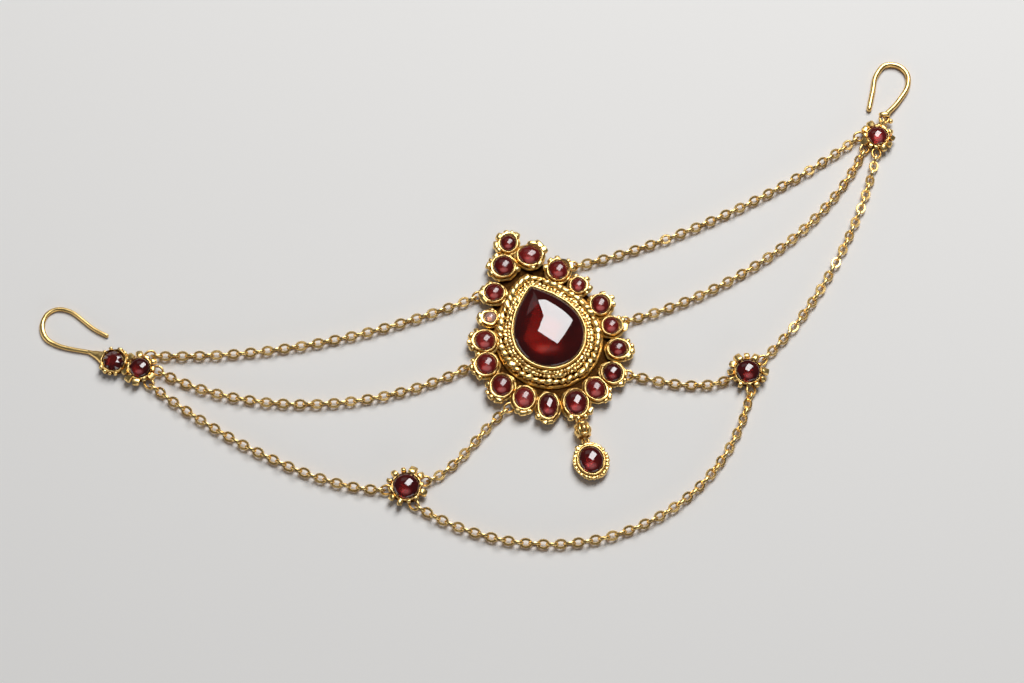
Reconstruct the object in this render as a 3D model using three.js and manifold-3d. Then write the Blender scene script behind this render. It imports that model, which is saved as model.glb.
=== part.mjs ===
// A matha patti, the Indian head ornament: gold chains, a pear-shaped pendant
// of red cabochons, a small drop and a hook at each end, laid flat on a table.
// Millimetres. +Z is up from the table, +Y runs to the pendant's tip and +X to
// the right. The origin is on the underside of the pendant, on its axis.

import * as THREE from 'three';
import { mergeVertices } from 'three/addons/utils/BufferGeometryUtils.js';
import Module from 'manifold-3d';

const wasm = await Module();
wasm.setup();

const TURN = Math.PI * 2;
const UP = new THREE.Vector3(0, 0, 1);
const degrees = THREE.MathUtils.degToRad;

// Finishes
const GOLD = new THREE.MeshStandardMaterial({ color: 0xd6a042, metalness: 1, roughness: 0.3 });
const GARNET = new THREE.MeshStandardMaterial({ color: 0x6b0c14, metalness: 0, roughness: 0.08 });
const PALE_GARNET = new THREE.MeshStandardMaterial({ color: 0xb5766c, metalness: 0, roughness: 0.12 });

// Clearance between a stone and its seat
const STONE_GAP = 0.25;

// Sides of the round pieces
const COLLET_SIDES = 10;
const PEAR_SIDES = 28;
const PLATE_SIDES = 32;
const WIRE_SIDES = 8;
const PETAL_SIDES = 6;
const PETAL_ROWS = 3;

// The centre stone: a broad pear with an obtuse tip, and a low dome
const PEAR_X = 0.5;
const PEAR_HALF_WIDTH = 8.75;
const PEAR_TIP = 12.7;
const PEAR_TAIL = 10.1;
const PEAR_WIDEST = -0.6;
const PEAR_TIP_SLOPE = degrees(37);
const PEAR_TIP_LEAD = 5.5;
const PEAR_SHOULDER_SHARE = 0.39;
const QUARTER_ARC = 0.552;
const PEAR_SEAT = 2.8;
const PEAR_GIRDLE = 4.0;
const PEAR_CROWN = 2.6;

// The stepped setting of the centre stone, from its foot up to the bezel's lip
// and down to the seat; out is the distance outside the stone's outline
const BEZEL_PROFILE = [
  { out: 4.9, z: 0.3 },
  { out: 4.9, z: 1.4 },
  { out: 4.5, z: 1.65 },
  { out: 3.95, z: 1.65 },
  { out: 4.05, z: 2.1 },
  { out: 3.45, z: 2.65 },
  { out: 2.8, z: 2.4 },
  { out: 2.6, z: 2.15 },
  { out: 2.35, z: 2.75 },
  { out: 1.8, z: 3.1 },
  { out: 1.25, z: 2.9 },
  { out: 0.8, z: 2.9 },
  { out: 0.55, z: 4.2 },
  { out: STONE_GAP, z: 4.2 },
  { out: STONE_GAP, z: PEAR_SEAT },
];

// The back plate runs through the middles of the rim collets
const PLATE_THICKNESS = 0.9;

// The rim stones, from the tip round the left side: middle, size along and
// across the oval, and the oval's turn
const RIM_STONES = [
  { x: -0.5, y: 26.8, wide: 4.0, long: 4.3, turn: -20 },
  { x: -3.75, y: 21.1, wide: 5.2, long: 5.4, turn: -20 },
  { x: -8.45, y: 14.9, wide: 4.6, long: 4.6, turn: 0 },
  { x: -11.65, y: 8.7, wide: 2.8, long: 2.8, turn: 0 },
  { x: -15.05, y: 3.1, wide: 5.0, long: 5.2, turn: -10 },
  { x: -16.75, y: -3.1, wide: 5.0, long: 5.5, turn: -15 },
  { x: -15.15, y: -9.8, wide: 5.0, long: 5.5, turn: -20 },
  { x: -11.05, y: -14.8, wide: 4.8, long: 5.5, turn: -20 },
  { x: -6.15, y: -18.8, wide: 4.5, long: 6.3, turn: -18 },
  { x: 0.55, y: -20.3, wide: 5.5, long: 6.6, turn: -12 },
  { x: 6.45, y: -18.4, wide: 4.6, long: 5.6, turn: 5 },
  { x: 11.85, y: -15.7, wide: 4.8, long: 5.0, turn: 0 },
  { x: 15.45, y: -10.0, wide: 4.5, long: 4.5, turn: 0 },
  { x: 16.05, y: -3.5, wide: 4.0, long: 4.4, turn: -15 },
  { x: 15.5, y: 2.9, wide: 4.4, long: 5.0, turn: -20 },
  { x: 12.15, y: 9.8, wide: 3.5, long: 3.8, turn: -20 },
  { x: 8.85, y: 15.5, wide: 4.8, long: 5.2, turn: -20 },
  { x: 3.45, y: 21.8, wide: 5.7, long: 5.0, turn: -25 },
];
const PALE_RIM_STONE = 4;

// Collets, from the foot of the cup up to the lip and down to the seat; out is
// the distance outside the stone's outline
const RIM_PROFILE = [
  { out: 0.4, z: 0 },
  { out: 0.85, z: 1.4 },
  { out: 0.85, z: 2.4 },
  { out: 0.6, z: 2.9 },
  { out: STONE_GAP, z: 2.9 },
  { out: STONE_GAP, z: 1.9 },
];
const FLOWER_PROFILE = [
  { out: 0.2, z: 0 },
  { out: 0.7, z: 1.3 },
  { out: 0.55, z: 2.4 },
  { out: STONE_GAP, z: 2.4 },
  { out: STONE_GAP, z: 1.5 },
];
const DROP_PROFILE = [
  { out: 0.5, z: 0 },
  { out: 1.35, z: 1.6 },
  { out: 1.15, z: 2.15 },
  { out: 0.75, z: 2.0 },
  { out: 0.55, z: 2.7 },
  { out: STONE_GAP, z: 2.7 },
  { out: STONE_GAP, z: 1.7 },
];

// A cabochon's wall ends below its collet's lip, and its dome rises by a share
// of the stone's half width
const LIP_COVER = 0.2;
const DOME_RISE = 0.52;
const DOME_ROWS = 2;
const PEAR_DOME_ROWS = 4;

// The flowers: middle, radius of the stone, number of petals, and the turn of
// the first petal
const FLOWERS = {
  left_flower: { x: -98.15, y: 24.9, stone: 2.6, petals: 11, turn: 10 },
  right_flower: { x: 99.65, y: 24.5, stone: 2.55, petals: 12, turn: 4 },
  left_spreader: { x: -45.95, y: -27.2, stone: 3.25, petals: 12, turn: 20 },
  right_spreader: { x: 43.75, y: -26.3, stone: 3.05, petals: 12, turn: 12 },
};
const PETAL_OUT = 1.15;
const PETAL_LENGTH = 1.8;
const PETAL_WIDTH = 1.6;
const PETAL_HEIGHT = 1.9;
const PETAL_Z = 1.5;
const PETAL_SWELL = 0.16;
const PETAL_CLEAR = degrees(29);

// The faceted stone beside the left hook
const END_COLLET = { x: -103.75, y: 29.0, stone: 2.75 };
const END_TABLE_SHARE = 0.58;
const END_CROWN = 1.1;
const END_FACETS = 8;
const GRANULE_RADIUS = 0.85;
const GRANULE_Z = 0.95;

// The hooks: wire and the points it passes, from the free end
const LEFT_HOOK_WIRE = 1.0;
const LEFT_HOOK_POINTS = [
  { x: -103.4, y: 36.9 },
  { x: -106.0, y: 39.9 },
  { x: -110.05, y: 46.3 },
  { x: -113.0, y: 48.1 },
  { x: -115.9, y: 47.6 },
  { x: -117.9, y: 44.9 },
  { x: -117.9, y: 41.3 },
  { x: -115.4, y: 38.2 },
  { x: -107.6, y: 33.3 },
];
const RIGHT_HOOK_WIRE = 1.4;
const RIGHT_HOOK_POINTS = [
  { x: 101.15, y: 33.3 },
  { x: 104.1, y: 37.95 },
  { x: 106.55, y: 41.8 },
  { x: 110.0, y: 44.0 },
  { x: 113.3, y: 42.7 },
  { x: 114.5, y: 39.6 },
  { x: 113.2, y: 36.3 },
  { x: 108.6, y: 32.4 },
  { x: 104.4, y: 30.0 },
];
const HOOK_STEPS = 20;
const HOOK_RISE_POWER = 10;
const TONGUE_WIDTH = 3.0;
const TONGUE_LENGTH = 4.6;
const TONGUE_SWELL = 1.4;

// The right hook's eye and the lug that it hangs on
const EYE = { length: 3.2, width: 3.0, wire: 0.8 };
const EYE_LUG_OUT = 2.0;
const EYE_PITCH = 1.3;
const EYE_Z = EYE.width / 2;

// Chain links lie on edge by turns, leaning left and right
const LINK = { length: 3.3, width: 2.6, wire: 0.65 };
const LINK_SIDES = 10;
const LINK_WIRE_SIDES = 5;
const LINK_LEAN = degrees(45);
const LINK_PITCH = 2.1;
const CHAIN_Z = 1.1;

// The lug that holds a chain's end is a slacker oval, soldered to its collet
const LUG = { length: 3.4, width: 2.8, wire: 0.6 };
const LUG_PITCH = 1.75;

// Chains drawn as plain tubes stop short of the lugs at their ends
const TUBE_RADIUS = CHAIN_Z / Math.cos(Math.PI / WIRE_SIDES);
const TUBE_START = 2.0;
const TUBE_STEP = 7.2;

// The chains' routes: from one lug to the other, each a cubic curve with the
// two points that it leans to. rim is the rim stone whose collet holds the lug
const CHAINS = [
  {
    name: 'chain_left_upper', linked: false, from: 'left_flower', to: 'pendant', rim: 3,
    start: [-94.8, 27.7], lean: [-68.2, 17.2], settle: [-40.8, 13.7], end: [-12.4, 15.9],
  },
  {
    name: 'chain_left_middle', linked: false, from: 'left_flower', to: 'pendant', rim: 6,
    start: [-94.2, 23.1], lean: [-77.4, 3.6], settle: [-46.6, -6.1], end: [-20.8, -1.7],
  },
  {
    name: 'chain_left_lower', linked: false, from: 'left_flower', to: 'left_spreader',
    start: [-97.2, 20.5], lean: [-87.8, 4.6], settle: [-67.6, -20.5], end: [-50.7, -26.1],
  },
  {
    name: 'chain_left_inner', linked: true, from: 'left_spreader', to: 'pendant', rim: 8,
    start: [-41.1, -27.1], lean: [-33.0, -27.9], settle: [-22.9, -17.7], end: [-15.2, -15.5],
  },
  {
    name: 'chain_front', linked: false, from: 'left_spreader', to: 'right_spreader',
    start: [-45.6, -32.0], lean: [-22.0, -63.5], settle: [22.4, -64.1], end: [42.8, -31.0],
  },
  {
    name: 'chain_right_inner', linked: true, from: 'pendant', to: 'right_spreader', rim: 12,
    start: [15.4, -17.0], lean: [21.2, -20.0], settle: [29.4, -27.3], end: [39.0, -26.4],
  },
  {
    name: 'chain_right_lower', linked: false, from: 'right_flower', to: 'right_spreader',
    start: [97.7, 20.3], lean: [87.2, 3.1], settle: [65.8, -16.9], end: [48.3, -24.4],
  },
  {
    name: 'chain_right_middle', linked: false, from: 'pendant', to: 'right_flower', rim: 14,
    start: [19.7, -2.9], lean: [45.4, -4.7], settle: [76.4, 2.8], end: [95.4, 22.6],
  },
  {
    name: 'chain_right_upper', linked: false, from: 'pendant', to: 'right_flower', rim: 17,
    start: [12.8, 15.9], lean: [37.0, 12.9], settle: [72.4, 17.7], end: [95.4, 26.4],
  },
];

// The drop hangs from a lug under the bottom rim stone. Distances run along its
// own axis from the middle of that lug
const DROP_LUG_X = -0.1;
const DROP_LUG_Y = -24.9;
const DROP_TURN = degrees(-5.6);
const DROP_RING = { length: 2.1, width: 2.1, wire: 0.5 };
const DROP_RING_PITCH = 0.8;
const DROP_RING_OUT = 0.5;
const DROP_RING_Z = 1.6;
const BARREL_LENGTH = 3.0;
const BARREL_RADIUS = 2.2;
const BARREL_END_RADIUS = 1.4;
const BARREL_FLUTES = 8;
const BARREL_FLUTE_SHARE = 0.87;
const BARREL_ROWS = 5;
const DROP_STONE = { wide: 6.0, long: 7.0 };

// Mesh helpers

function middle(points) {
  const sum = points.reduce((total, point) => total.add(point), new THREE.Vector3());
  return sum.divideScalar(points.length);
}

// A closed body through rings of points that run the same way round. The ends
// are closed by fans, the last one to the apex where there is one, or the last
// ring meets the first
function loft(rings, { apex = null, loops = false } = {}) {
  const sides = rings[0].length;
  const points = rings.flat();
  const faces = [];
  const spans = loops ? rings.length : rings.length - 1;
  for (let span = 0; span < spans; span += 1) {
    const low = span * sides;
    const high = ((span + 1) % rings.length) * sides;
    for (let side = 0; side < sides; side += 1) {
      const next = (side + 1) % sides;
      faces.push(low + side, low + next, high + next);
      faces.push(low + side, high + next, high + side);
    }
  }
  if (!loops) {
    const top = spans * sides;
    const foot = points.push(middle(rings[0])) - 1;
    const head = points.push(apex ?? middle(rings[spans])) - 1;
    for (let side = 0; side < sides; side += 1) {
      const next = (side + 1) % sides;
      faces.push(foot, next, side);
      faces.push(head, top + side, top + next);
    }
  }
  const geometry = new THREE.BufferGeometry().setFromPoints(points);
  geometry.setIndex(faces);
  return geometry;
}

function solidOf(geometry) {
  const bare = geometry.clone();
  bare.deleteAttribute('normal');
  bare.deleteAttribute('uv');
  const welded = mergeVertices(bare);
  const vertProperties = new Float32Array(welded.attributes.position.array);
  const triVerts = new Uint32Array(welded.index.array);
  return new wasm.Manifold(new wasm.Mesh({ numProp: 3, vertProperties, triVerts }));
}

// Soldered pieces become one closed body
function solder(geometries) {
  const whole = geometries.map(solidOf).reduce((sum, solid) => sum.add(solid));
  const mesh = whole.getMesh();
  const geometry = new THREE.BufferGeometry();
  geometry.setAttribute('position', new THREE.BufferAttribute(mesh.vertProperties, 3));
  geometry.setIndex(new THREE.BufferAttribute(mesh.triVerts, 1));
  return geometry;
}

function piece(name, geometry, finish) {
  geometry.computeVertexNormals();
  const mesh = new THREE.Mesh(geometry, finish.clone());
  mesh.name = name;
  return mesh;
}

function ellipseRing(halfWide, halfLong, z, sides) {
  return Array.from({ length: sides }, (_, side) => {
    const angle = (side / sides) * TURN;
    return new THREE.Vector3(halfWide * Math.cos(angle), halfLong * Math.sin(angle), z);
  });
}

// An oval of wire in the XY plane, long in X
function wireOval({ length, width, wire }, sides = LINK_SIDES, wireSides = LINK_WIRE_SIDES) {
  const radius = wire / 2;
  const halfLong = length / 2 - radius;
  const halfWide = width / 2 - radius;
  const rings = [];
  for (let step = 0; step < sides; step += 1) {
    const angle = (step / sides) * TURN;
    const centre = new THREE.Vector3(halfLong * Math.cos(angle), halfWide * Math.sin(angle), 0);
    const out = new THREE.Vector3(halfWide * Math.cos(angle), halfLong * Math.sin(angle), 0).normalize();
    const section = [];
    for (let side = 0; side < wireSides; side += 1) {
      const roll = ((side + 0.5) / wireSides) * TURN;
      const point = centre.clone().addScaledVector(out, radius * Math.cos(roll));
      section.push(point.addScaledVector(UP, -radius * Math.sin(roll)));
    }
    rings.push(section);
  }
  return loft(rings, { loops: true });
}

// Moves a piece so that its X lies along a direction on the table and its XY
// plane leans by an angle about that direction
function placeAlong(geometry, position, direction, lean) {
  const side = new THREE.Vector3().crossVectors(UP, direction);
  const across = side.multiplyScalar(Math.cos(lean)).addScaledVector(UP, Math.sin(lean));
  const normal = new THREE.Vector3().crossVectors(direction, across);
  const place = new THREE.Matrix4().makeBasis(direction, across, normal).setPosition(position);
  return geometry.applyMatrix4(place);
}

function wireSection(radius) {
  const corners = Array.from({ length: WIRE_SIDES }, (_, side) => {
    const angle = ((side + 0.5) / WIRE_SIDES) * TURN;
    return new THREE.Vector2(radius * Math.cos(angle), radius * Math.sin(angle));
  });
  return new THREE.Shape(corners);
}

function wireAlong(points, radius, steps) {
  const extrudePath = new THREE.CatmullRomCurve3(points, false, 'centripetal');
  const options = { steps, bevelEnabled: false, extrudePath };
  return new THREE.ExtrudeGeometry(wireSection(radius), options);
}

// Collets and stones

function collet(halfWide, halfLong, profile, sides = COLLET_SIDES) {
  return loft(profile.map(({ out, z }) => ellipseRing(halfWide + out, halfLong + out, z, sides)));
}

// A stone sits a gap above its seat, and its wall ends under the collet's lip
function cabochon(halfWide, halfLong, profile) {
  const seat = profile.at(-1).z + STONE_GAP;
  const girdle = profile.at(-2).z - LIP_COVER;
  const rise = DOME_RISE * Math.min(halfWide, halfLong);
  const rings = [ellipseRing(halfWide, halfLong, seat, COLLET_SIDES)];
  for (let row = 0; row < DOME_ROWS; row += 1) {
    const climb = (row / DOME_ROWS) * (Math.PI / 2);
    const share = Math.cos(climb);
    const z = girdle + rise * Math.sin(climb);
    rings.push(ellipseRing(halfWide * share, halfLong * share, z, COLLET_SIDES));
  }
  return loft(rings, { apex: new THREE.Vector3(0, 0, girdle + rise) });
}

// A round stone with a flat table and a crown of facets that turn by half a side
function cutStone(radius, profile) {
  const seat = profile.at(-1).z + STONE_GAP;
  const girdle = profile.at(-2).z - LIP_COVER;
  const tableRadius = radius * END_TABLE_SHARE;
  const table = ellipseRing(tableRadius, tableRadius, girdle + END_CROWN, END_FACETS);
  const halfSide = Math.PI / END_FACETS;
  table.forEach((point) => point.applyAxisAngle(UP, halfSide));
  const foot = ellipseRing(radius, radius, seat, END_FACETS);
  const waist = ellipseRing(radius, radius, girdle, END_FACETS);
  return loft([foot, waist, table]);
}

// The pendant

function pearPoints() {
  const lead = new THREE.Vector2(Math.cos(PEAR_TIP_SLOPE), -Math.sin(PEAR_TIP_SLOPE));
  lead.multiplyScalar(PEAR_TIP_LEAD);
  const shoulder = PEAR_WIDEST + (PEAR_TIP - PEAR_WIDEST) * PEAR_SHOULDER_SHARE;
  const low = PEAR_WIDEST - QUARTER_ARC * (PEAR_TAIL + PEAR_WIDEST);
  const near = QUARTER_ARC * PEAR_HALF_WIDTH;
  const wide = PEAR_HALF_WIDTH;
  const path = new THREE.Path();
  path.moveTo(0, PEAR_TIP);
  path.bezierCurveTo(-lead.x, PEAR_TIP + lead.y, -wide, shoulder, -wide, PEAR_WIDEST);
  path.bezierCurveTo(-wide, low, -near, -PEAR_TAIL, 0, -PEAR_TAIL);
  path.bezierCurveTo(near, -PEAR_TAIL, wide, low, wide, PEAR_WIDEST);
  path.bezierCurveTo(wide, shoulder, lead.x, PEAR_TIP + lead.y, 0, PEAR_TIP);
  return path.getSpacedPoints(PEAR_SIDES).slice(0, PEAR_SIDES);
}

const PEAR = pearPoints();

// The pear's outline moved outwards by a distance
function pearRing(out, z) {
  return PEAR.map((point, index) => {
    const before = PEAR.at(index - 1);
    const after = PEAR[(index + 1) % PEAR_SIDES];
    const along = after.clone().sub(before).normalize();
    return new THREE.Vector3(PEAR_X + point.x + out * along.y, point.y - out * along.x, z);
  });
}

// The pear's outline drawn in towards the axis by a share
function pearShareRing(share, z) {
  return PEAR.map((point) => new THREE.Vector3(PEAR_X + point.x * share, point.y * share, z));
}

function centreStone() {
  const rings = [pearShareRing(1, PEAR_SEAT + STONE_GAP)];
  for (let row = 0; row < PEAR_DOME_ROWS; row += 1) {
    const climb = (row / PEAR_DOME_ROWS) * (Math.PI / 2);
    rings.push(pearShareRing(Math.cos(climb), PEAR_GIRDLE + PEAR_CROWN * Math.sin(climb)));
  }
  return loft(rings, { apex: new THREE.Vector3(PEAR_X, 0, PEAR_GIRDLE + PEAR_CROWN) });
}

function backPlate() {
  const middles = RIM_STONES.map(({ x, y }) => new THREE.Vector3(x, y, 0));
  const outline = new THREE.CatmullRomCurve3(middles, true, 'centripetal');
  const foot = outline.getSpacedPoints(PLATE_SIDES).slice(0, PLATE_SIDES);
  const top = foot.map((point) => point.clone().setZ(PLATE_THICKNESS));
  return loft([foot, top]);
}

function atRimStone(geometry, { x, y, turn }) {
  return geometry.rotateZ(degrees(turn)).translate(x, y, 0);
}

function pendantSetting(lugs) {
  const bezel = loft(BEZEL_PROFILE.map(({ out, z }) => pearRing(out, z)));
  const collets = RIM_STONES.map((stone) => {
    return atRimStone(collet(stone.wide / 2, stone.long / 2, RIM_PROFILE), stone);
  });
  return solder([backPlate(), bezel, ...collets, dropLug(), ...lugs]);
}

function rimStonePieces() {
  return RIM_STONES.map((stone, index) => {
    const number = index + 1;
    const finish = number === PALE_RIM_STONE ? PALE_GARNET : GARNET;
    const geometry = atRimStone(cabochon(stone.wide / 2, stone.long / 2, RIM_PROFILE), stone);
    return piece(`rim_stone_${String(number).padStart(2, '0')}`, geometry, finish);
  });
}

// The flowers

// The petals leave room where a chain, a hook or another collet is joined
function petals(flower, joined) {
  const kept = [];
  for (let index = 0; index < flower.petals; index += 1) {
    const angle = degrees(flower.turn) + (index / flower.petals) * TURN;
    const facing = new THREE.Vector2(Math.cos(angle), Math.sin(angle));
    const free = joined.every((place) => {
      const towards = new THREE.Vector2(place.x - flower.x, place.y - flower.y);
      return Math.abs(facing.angleTo(towards)) > PETAL_CLEAR;
    });
    if (free) {
      const swell = 1 + PETAL_SWELL * Math.sin(index * index + flower.turn);
      const petal = new THREE.SphereGeometry(0.5, PETAL_SIDES, PETAL_ROWS);
      petal.rotateX(Math.PI / 2).scale(PETAL_LENGTH, PETAL_WIDTH * swell, PETAL_HEIGHT);
      petal.translate(flower.stone + PETAL_OUT, 0, PETAL_Z).rotateZ(angle);
      kept.push(petal.translate(flower.x, flower.y, 0));
    }
  }
  return kept;
}

function flowerSolids(flower, lugs, joined) {
  const cup = collet(flower.stone, flower.stone, FLOWER_PROFILE).translate(flower.x, flower.y, 0);
  return [cup, ...petals(flower, joined), ...lugs];
}

function flowerStone(flower) {
  return cabochon(flower.stone, flower.stone, FLOWER_PROFILE).translate(flower.x, flower.y, 0);
}

// The hooks

// The wire lies on the table and rises to what it is soldered to
function hookWire(points, wire, rootZ) {
  const path = points.map(({ x, y }, index) => {
    const rise = (index / (points.length - 1)) ** HOOK_RISE_POWER;
    return new THREE.Vector3(x, y, THREE.MathUtils.lerp(wire / 2, rootZ, rise));
  });
  return wireAlong(path, wire / 2, HOOK_STEPS);
}

// The left hook's wire spreads into a flat tongue on the end collet
function hookTongue() {
  const root = LEFT_HOOK_POINTS.at(-1);
  const towards = new THREE.Vector3(END_COLLET.x - root.x, END_COLLET.y - root.y, 0).normalize();
  const radius = LEFT_HOOK_WIRE / 2;
  const tongue = new THREE.CylinderGeometry(TONGUE_WIDTH / 2, radius, TONGUE_LENGTH, WIRE_SIDES);
  const halfThick = radius * TONGUE_SWELL;
  tongue.rotateZ(-Math.PI / 2).scale(1, 1, halfThick / (TONGUE_WIDTH / 2));
  const centre = new THREE.Vector3(root.x, root.y, halfThick);
  centre.addScaledVector(towards, TONGUE_LENGTH / 2 - radius);
  return placeAlong(tongue, centre, towards, 0);
}

function endCollet() {
  const { x, y, stone } = END_COLLET;
  return collet(stone, stone, FLOWER_PROFILE, END_FACETS * 2).translate(x, y, 0);
}

// A granule of solder joins the end collet to the left flower
function endGranule() {
  const flower = FLOWERS.left_flower;
  const reach = new THREE.Vector3(END_COLLET.x - flower.x, END_COLLET.y - flower.y, 0);
  reach.setLength((reach.length() + flower.stone - END_COLLET.stone) / 2);
  const granule = new THREE.SphereGeometry(GRANULE_RADIUS, PETAL_SIDES, PETAL_ROWS);
  return granule.rotateX(Math.PI / 2).translate(flower.x + reach.x, flower.y + reach.y, GRANULE_Z);
}

// The right hook's eye passes through a lug on the right flower
function eyeDirection() {
  const flower = FLOWERS.right_flower;
  const root = RIGHT_HOOK_POINTS.at(-1);
  return new THREE.Vector3(root.x - flower.x, root.y - flower.y, 0).normalize();
}

function eyeRing(distance, lean) {
  const flower = FLOWERS.right_flower;
  const direction = eyeDirection();
  const position = new THREE.Vector3(flower.x, flower.y, EYE_Z);
  position.addScaledVector(direction, distance);
  return placeAlong(wireOval(EYE), position, direction, lean);
}

const EYE_LUG_DISTANCE = FLOWERS.right_flower.stone + EYE_LUG_OUT;

function eyeLug() {
  return eyeRing(EYE_LUG_DISTANCE, Math.PI / 2);
}

function rightHook() {
  const eye = eyeRing(EYE_LUG_DISTANCE + EYE_PITCH, 0);
  return solder([hookWire(RIGHT_HOOK_POINTS, RIGHT_HOOK_WIRE, EYE_Z), eye]);
}

// The chains

class Chain {
  constructor({ name, linked, from, to, rim, start, lean, settle, end }) {
    const points = [start, lean, settle, end].map(([x, y]) => new THREE.Vector3(x, y, CHAIN_Z));
    this.name = name;
    this.linked = linked;
    this.rim = rim;
    this.ends = { [from]: points[0], [to]: points[3] };
    this.curve = new THREE.CubicBezierCurve3(...points);
    this.length = this.curve.getLength();
    const run = this.length - 2 * LUG_PITCH;
    this.links = Math.round(run / LINK_PITCH) + 1;
    this.pitch = run / (this.links - 1);
  }

  // Links lean left and right by turns
  leanOf(index) {
    return index % 2 === 0 ? LINK_LEAN : -LINK_LEAN;
  }

  linkAt(distance, index) {
    const share = distance / this.length;
    const position = this.curve.getPointAt(share);
    return placeAlong(wireOval(LINK), position, this.curve.getTangentAt(share), this.leanOf(index));
  }

  // A lug points halfway between the way out of its collet and the chain's way
  lugOn(owner) {
    const end = this.ends[owner];
    const holder = owner === 'pendant' ? RIM_STONES[this.rim - 1] : FLOWERS[owner];
    const first = end.equals(this.curve.v0);
    const direction = new THREE.Vector3(end.x - holder.x, end.y - holder.y, 0).normalize();
    if (!first) direction.negate();
    direction.add(this.curve.getTangentAt(first ? 0 : 1)).normalize();
    return placeAlong(wireOval(LUG), end, direction, this.leanOf(first ? 0 : this.links + 1));
  }

  linkedBody() {
    const links = [];
    for (let index = 0; index < this.links; index += 1) {
      links.push(this.linkAt(LUG_PITCH + index * this.pitch, index + 1));
    }
    return solder(links);
  }

  tubeBody() {
    const run = this.length - 2 * TUBE_START;
    const steps = Math.round(run / TUBE_STEP);
    const points = Array.from({ length: steps + 1 }, (_, step) => {
      return this.curve.getPointAt((TUBE_START + (run * step) / steps) / this.length);
    });
    return wireAlong(points, TUBE_RADIUS, steps);
  }

  piece() {
    return piece(this.name, this.linked ? this.linkedBody() : this.tubeBody(), GOLD);
  }
}

// The drop, along its own -Y axis from the middle of the pendant's lug

function dropRing(distance, lean) {
  const position = new THREE.Vector3(0, -distance, DROP_RING_Z);
  return placeAlong(wireOval(DROP_RING), position, new THREE.Vector3(0, -1, 0), lean);
}

function dropLug() {
  return dropRing(0, Math.PI / 2).rotateZ(DROP_TURN).translate(DROP_LUG_X, DROP_LUG_Y, 0);
}

const BARREL_TOP = DROP_RING_PITCH + DROP_RING_OUT;
const BARREL_FOOT = BARREL_TOP + BARREL_LENGTH;
const DROP_TOP = BARREL_FOOT + DROP_RING_OUT + DROP_RING_PITCH;
const DROP_MIDDLE = DROP_TOP + DROP_RING_OUT + DROP_STONE.long / 2 + DROP_PROFILE[1].out;

function barrelRing(row) {
  const share = row / (BARREL_ROWS - 1);
  const belly = Math.sin(share * Math.PI);
  const radius = BARREL_END_RADIUS + (BARREL_RADIUS - BARREL_END_RADIUS) * belly;
  const ring = ellipseRing(radius, radius, share * BARREL_LENGTH, BARREL_FLUTES * 2);
  ring.forEach((point, side) => {
    const flute = side % 2 === 0 ? 1 : BARREL_FLUTE_SHARE;
    point.setX(point.x * flute).setY(point.y * flute);
  });
  return ring;
}

function dropBail() {
  const rings = Array.from({ length: BARREL_ROWS }, (_, row) => barrelRing(row));
  const barrel = loft(rings).rotateX(Math.PI / 2).translate(0, -BARREL_TOP, BARREL_RADIUS);
  return solder([barrel, dropRing(DROP_RING_PITCH, 0), dropRing(BARREL_FOOT + DROP_RING_OUT, Math.PI / 2)]);
}

function dropSetting() {
  const cup = collet(DROP_STONE.wide / 2, DROP_STONE.long / 2, DROP_PROFILE);
  return solder([cup.translate(0, -DROP_MIDDLE, 0), dropRing(DROP_TOP, 0)]);
}

function dropStone() {
  const stone = cabochon(DROP_STONE.wide / 2, DROP_STONE.long / 2, DROP_PROFILE);
  return stone.translate(0, -DROP_MIDDLE, 0);
}

function dropGroup() {
  const group = new THREE.Group();
  group.add(piece('drop_bail', dropBail(), GOLD));
  group.add(piece('drop_setting', dropSetting(), GOLD));
  group.add(piece('drop_stone', dropStone(), GARNET));
  group.rotation.z = DROP_TURN;
  group.position.set(DROP_LUG_X, DROP_LUG_Y, 0);
  return group;
}

// The whole ornament

const chains = CHAINS.map((route) => new Chain(route));
const chainsOn = (owner) => chains.filter((chain) => owner in chain.ends);
const lugsOn = (owner) => chainsOn(owner).map((chain) => chain.lugOn(owner));
const joinsOn = (owner) => chainsOn(owner).map((chain) => chain.ends[owner]);

const { left_flower, right_flower, left_spreader, right_spreader } = FLOWERS;
const matha_patti = new THREE.Group();

matha_patti.add(piece('pendant_setting', pendantSetting(lugsOn('pendant')), GOLD));
matha_patti.add(piece('centre_stone', centreStone(), GARNET));
matha_patti.add(...rimStonePieces());
matha_patti.add(dropGroup());

const leftJoins = [...joinsOn('left_flower'), END_COLLET];
const leftEnd = flowerSolids(left_flower, lugsOn('left_flower'), leftJoins);
const leftWire = hookWire(LEFT_HOOK_POINTS, LEFT_HOOK_WIRE, LEFT_HOOK_WIRE / 2);
const leftHook = [leftWire, hookTongue(), endCollet(), endGranule()];
const endStone = cutStone(END_COLLET.stone, FLOWER_PROFILE).translate(END_COLLET.x, END_COLLET.y, 0);
matha_patti.add(piece('left_hook_setting', solder([...leftEnd, ...leftHook]), GOLD));
matha_patti.add(piece('left_collet_stone', endStone, GARNET));
matha_patti.add(piece('left_flower_stone', flowerStone(left_flower), GARNET));

const rightJoins = [...joinsOn('right_flower'), RIGHT_HOOK_POINTS.at(-1)];
const rightEnd = flowerSolids(right_flower, [...lugsOn('right_flower'), eyeLug()], rightJoins);
matha_patti.add(piece('right_flower_setting', solder(rightEnd), GOLD));
matha_patti.add(piece('right_flower_stone', flowerStone(right_flower), GARNET));
matha_patti.add(piece('right_hook', rightHook(), GOLD));

for (const [name, flower] of Object.entries({ left_spreader, right_spreader })) {
  const solids = flowerSolids(flower, lugsOn(name), joinsOn(name));
  matha_patti.add(piece(`${name}_setting`, solder(solids), GOLD));
  matha_patti.add(piece(`${name}_stone`, flowerStone(flower), GARNET));
}

matha_patti.add(...chains.map((chain) => chain.piece()));

export default matha_patti;
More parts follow.
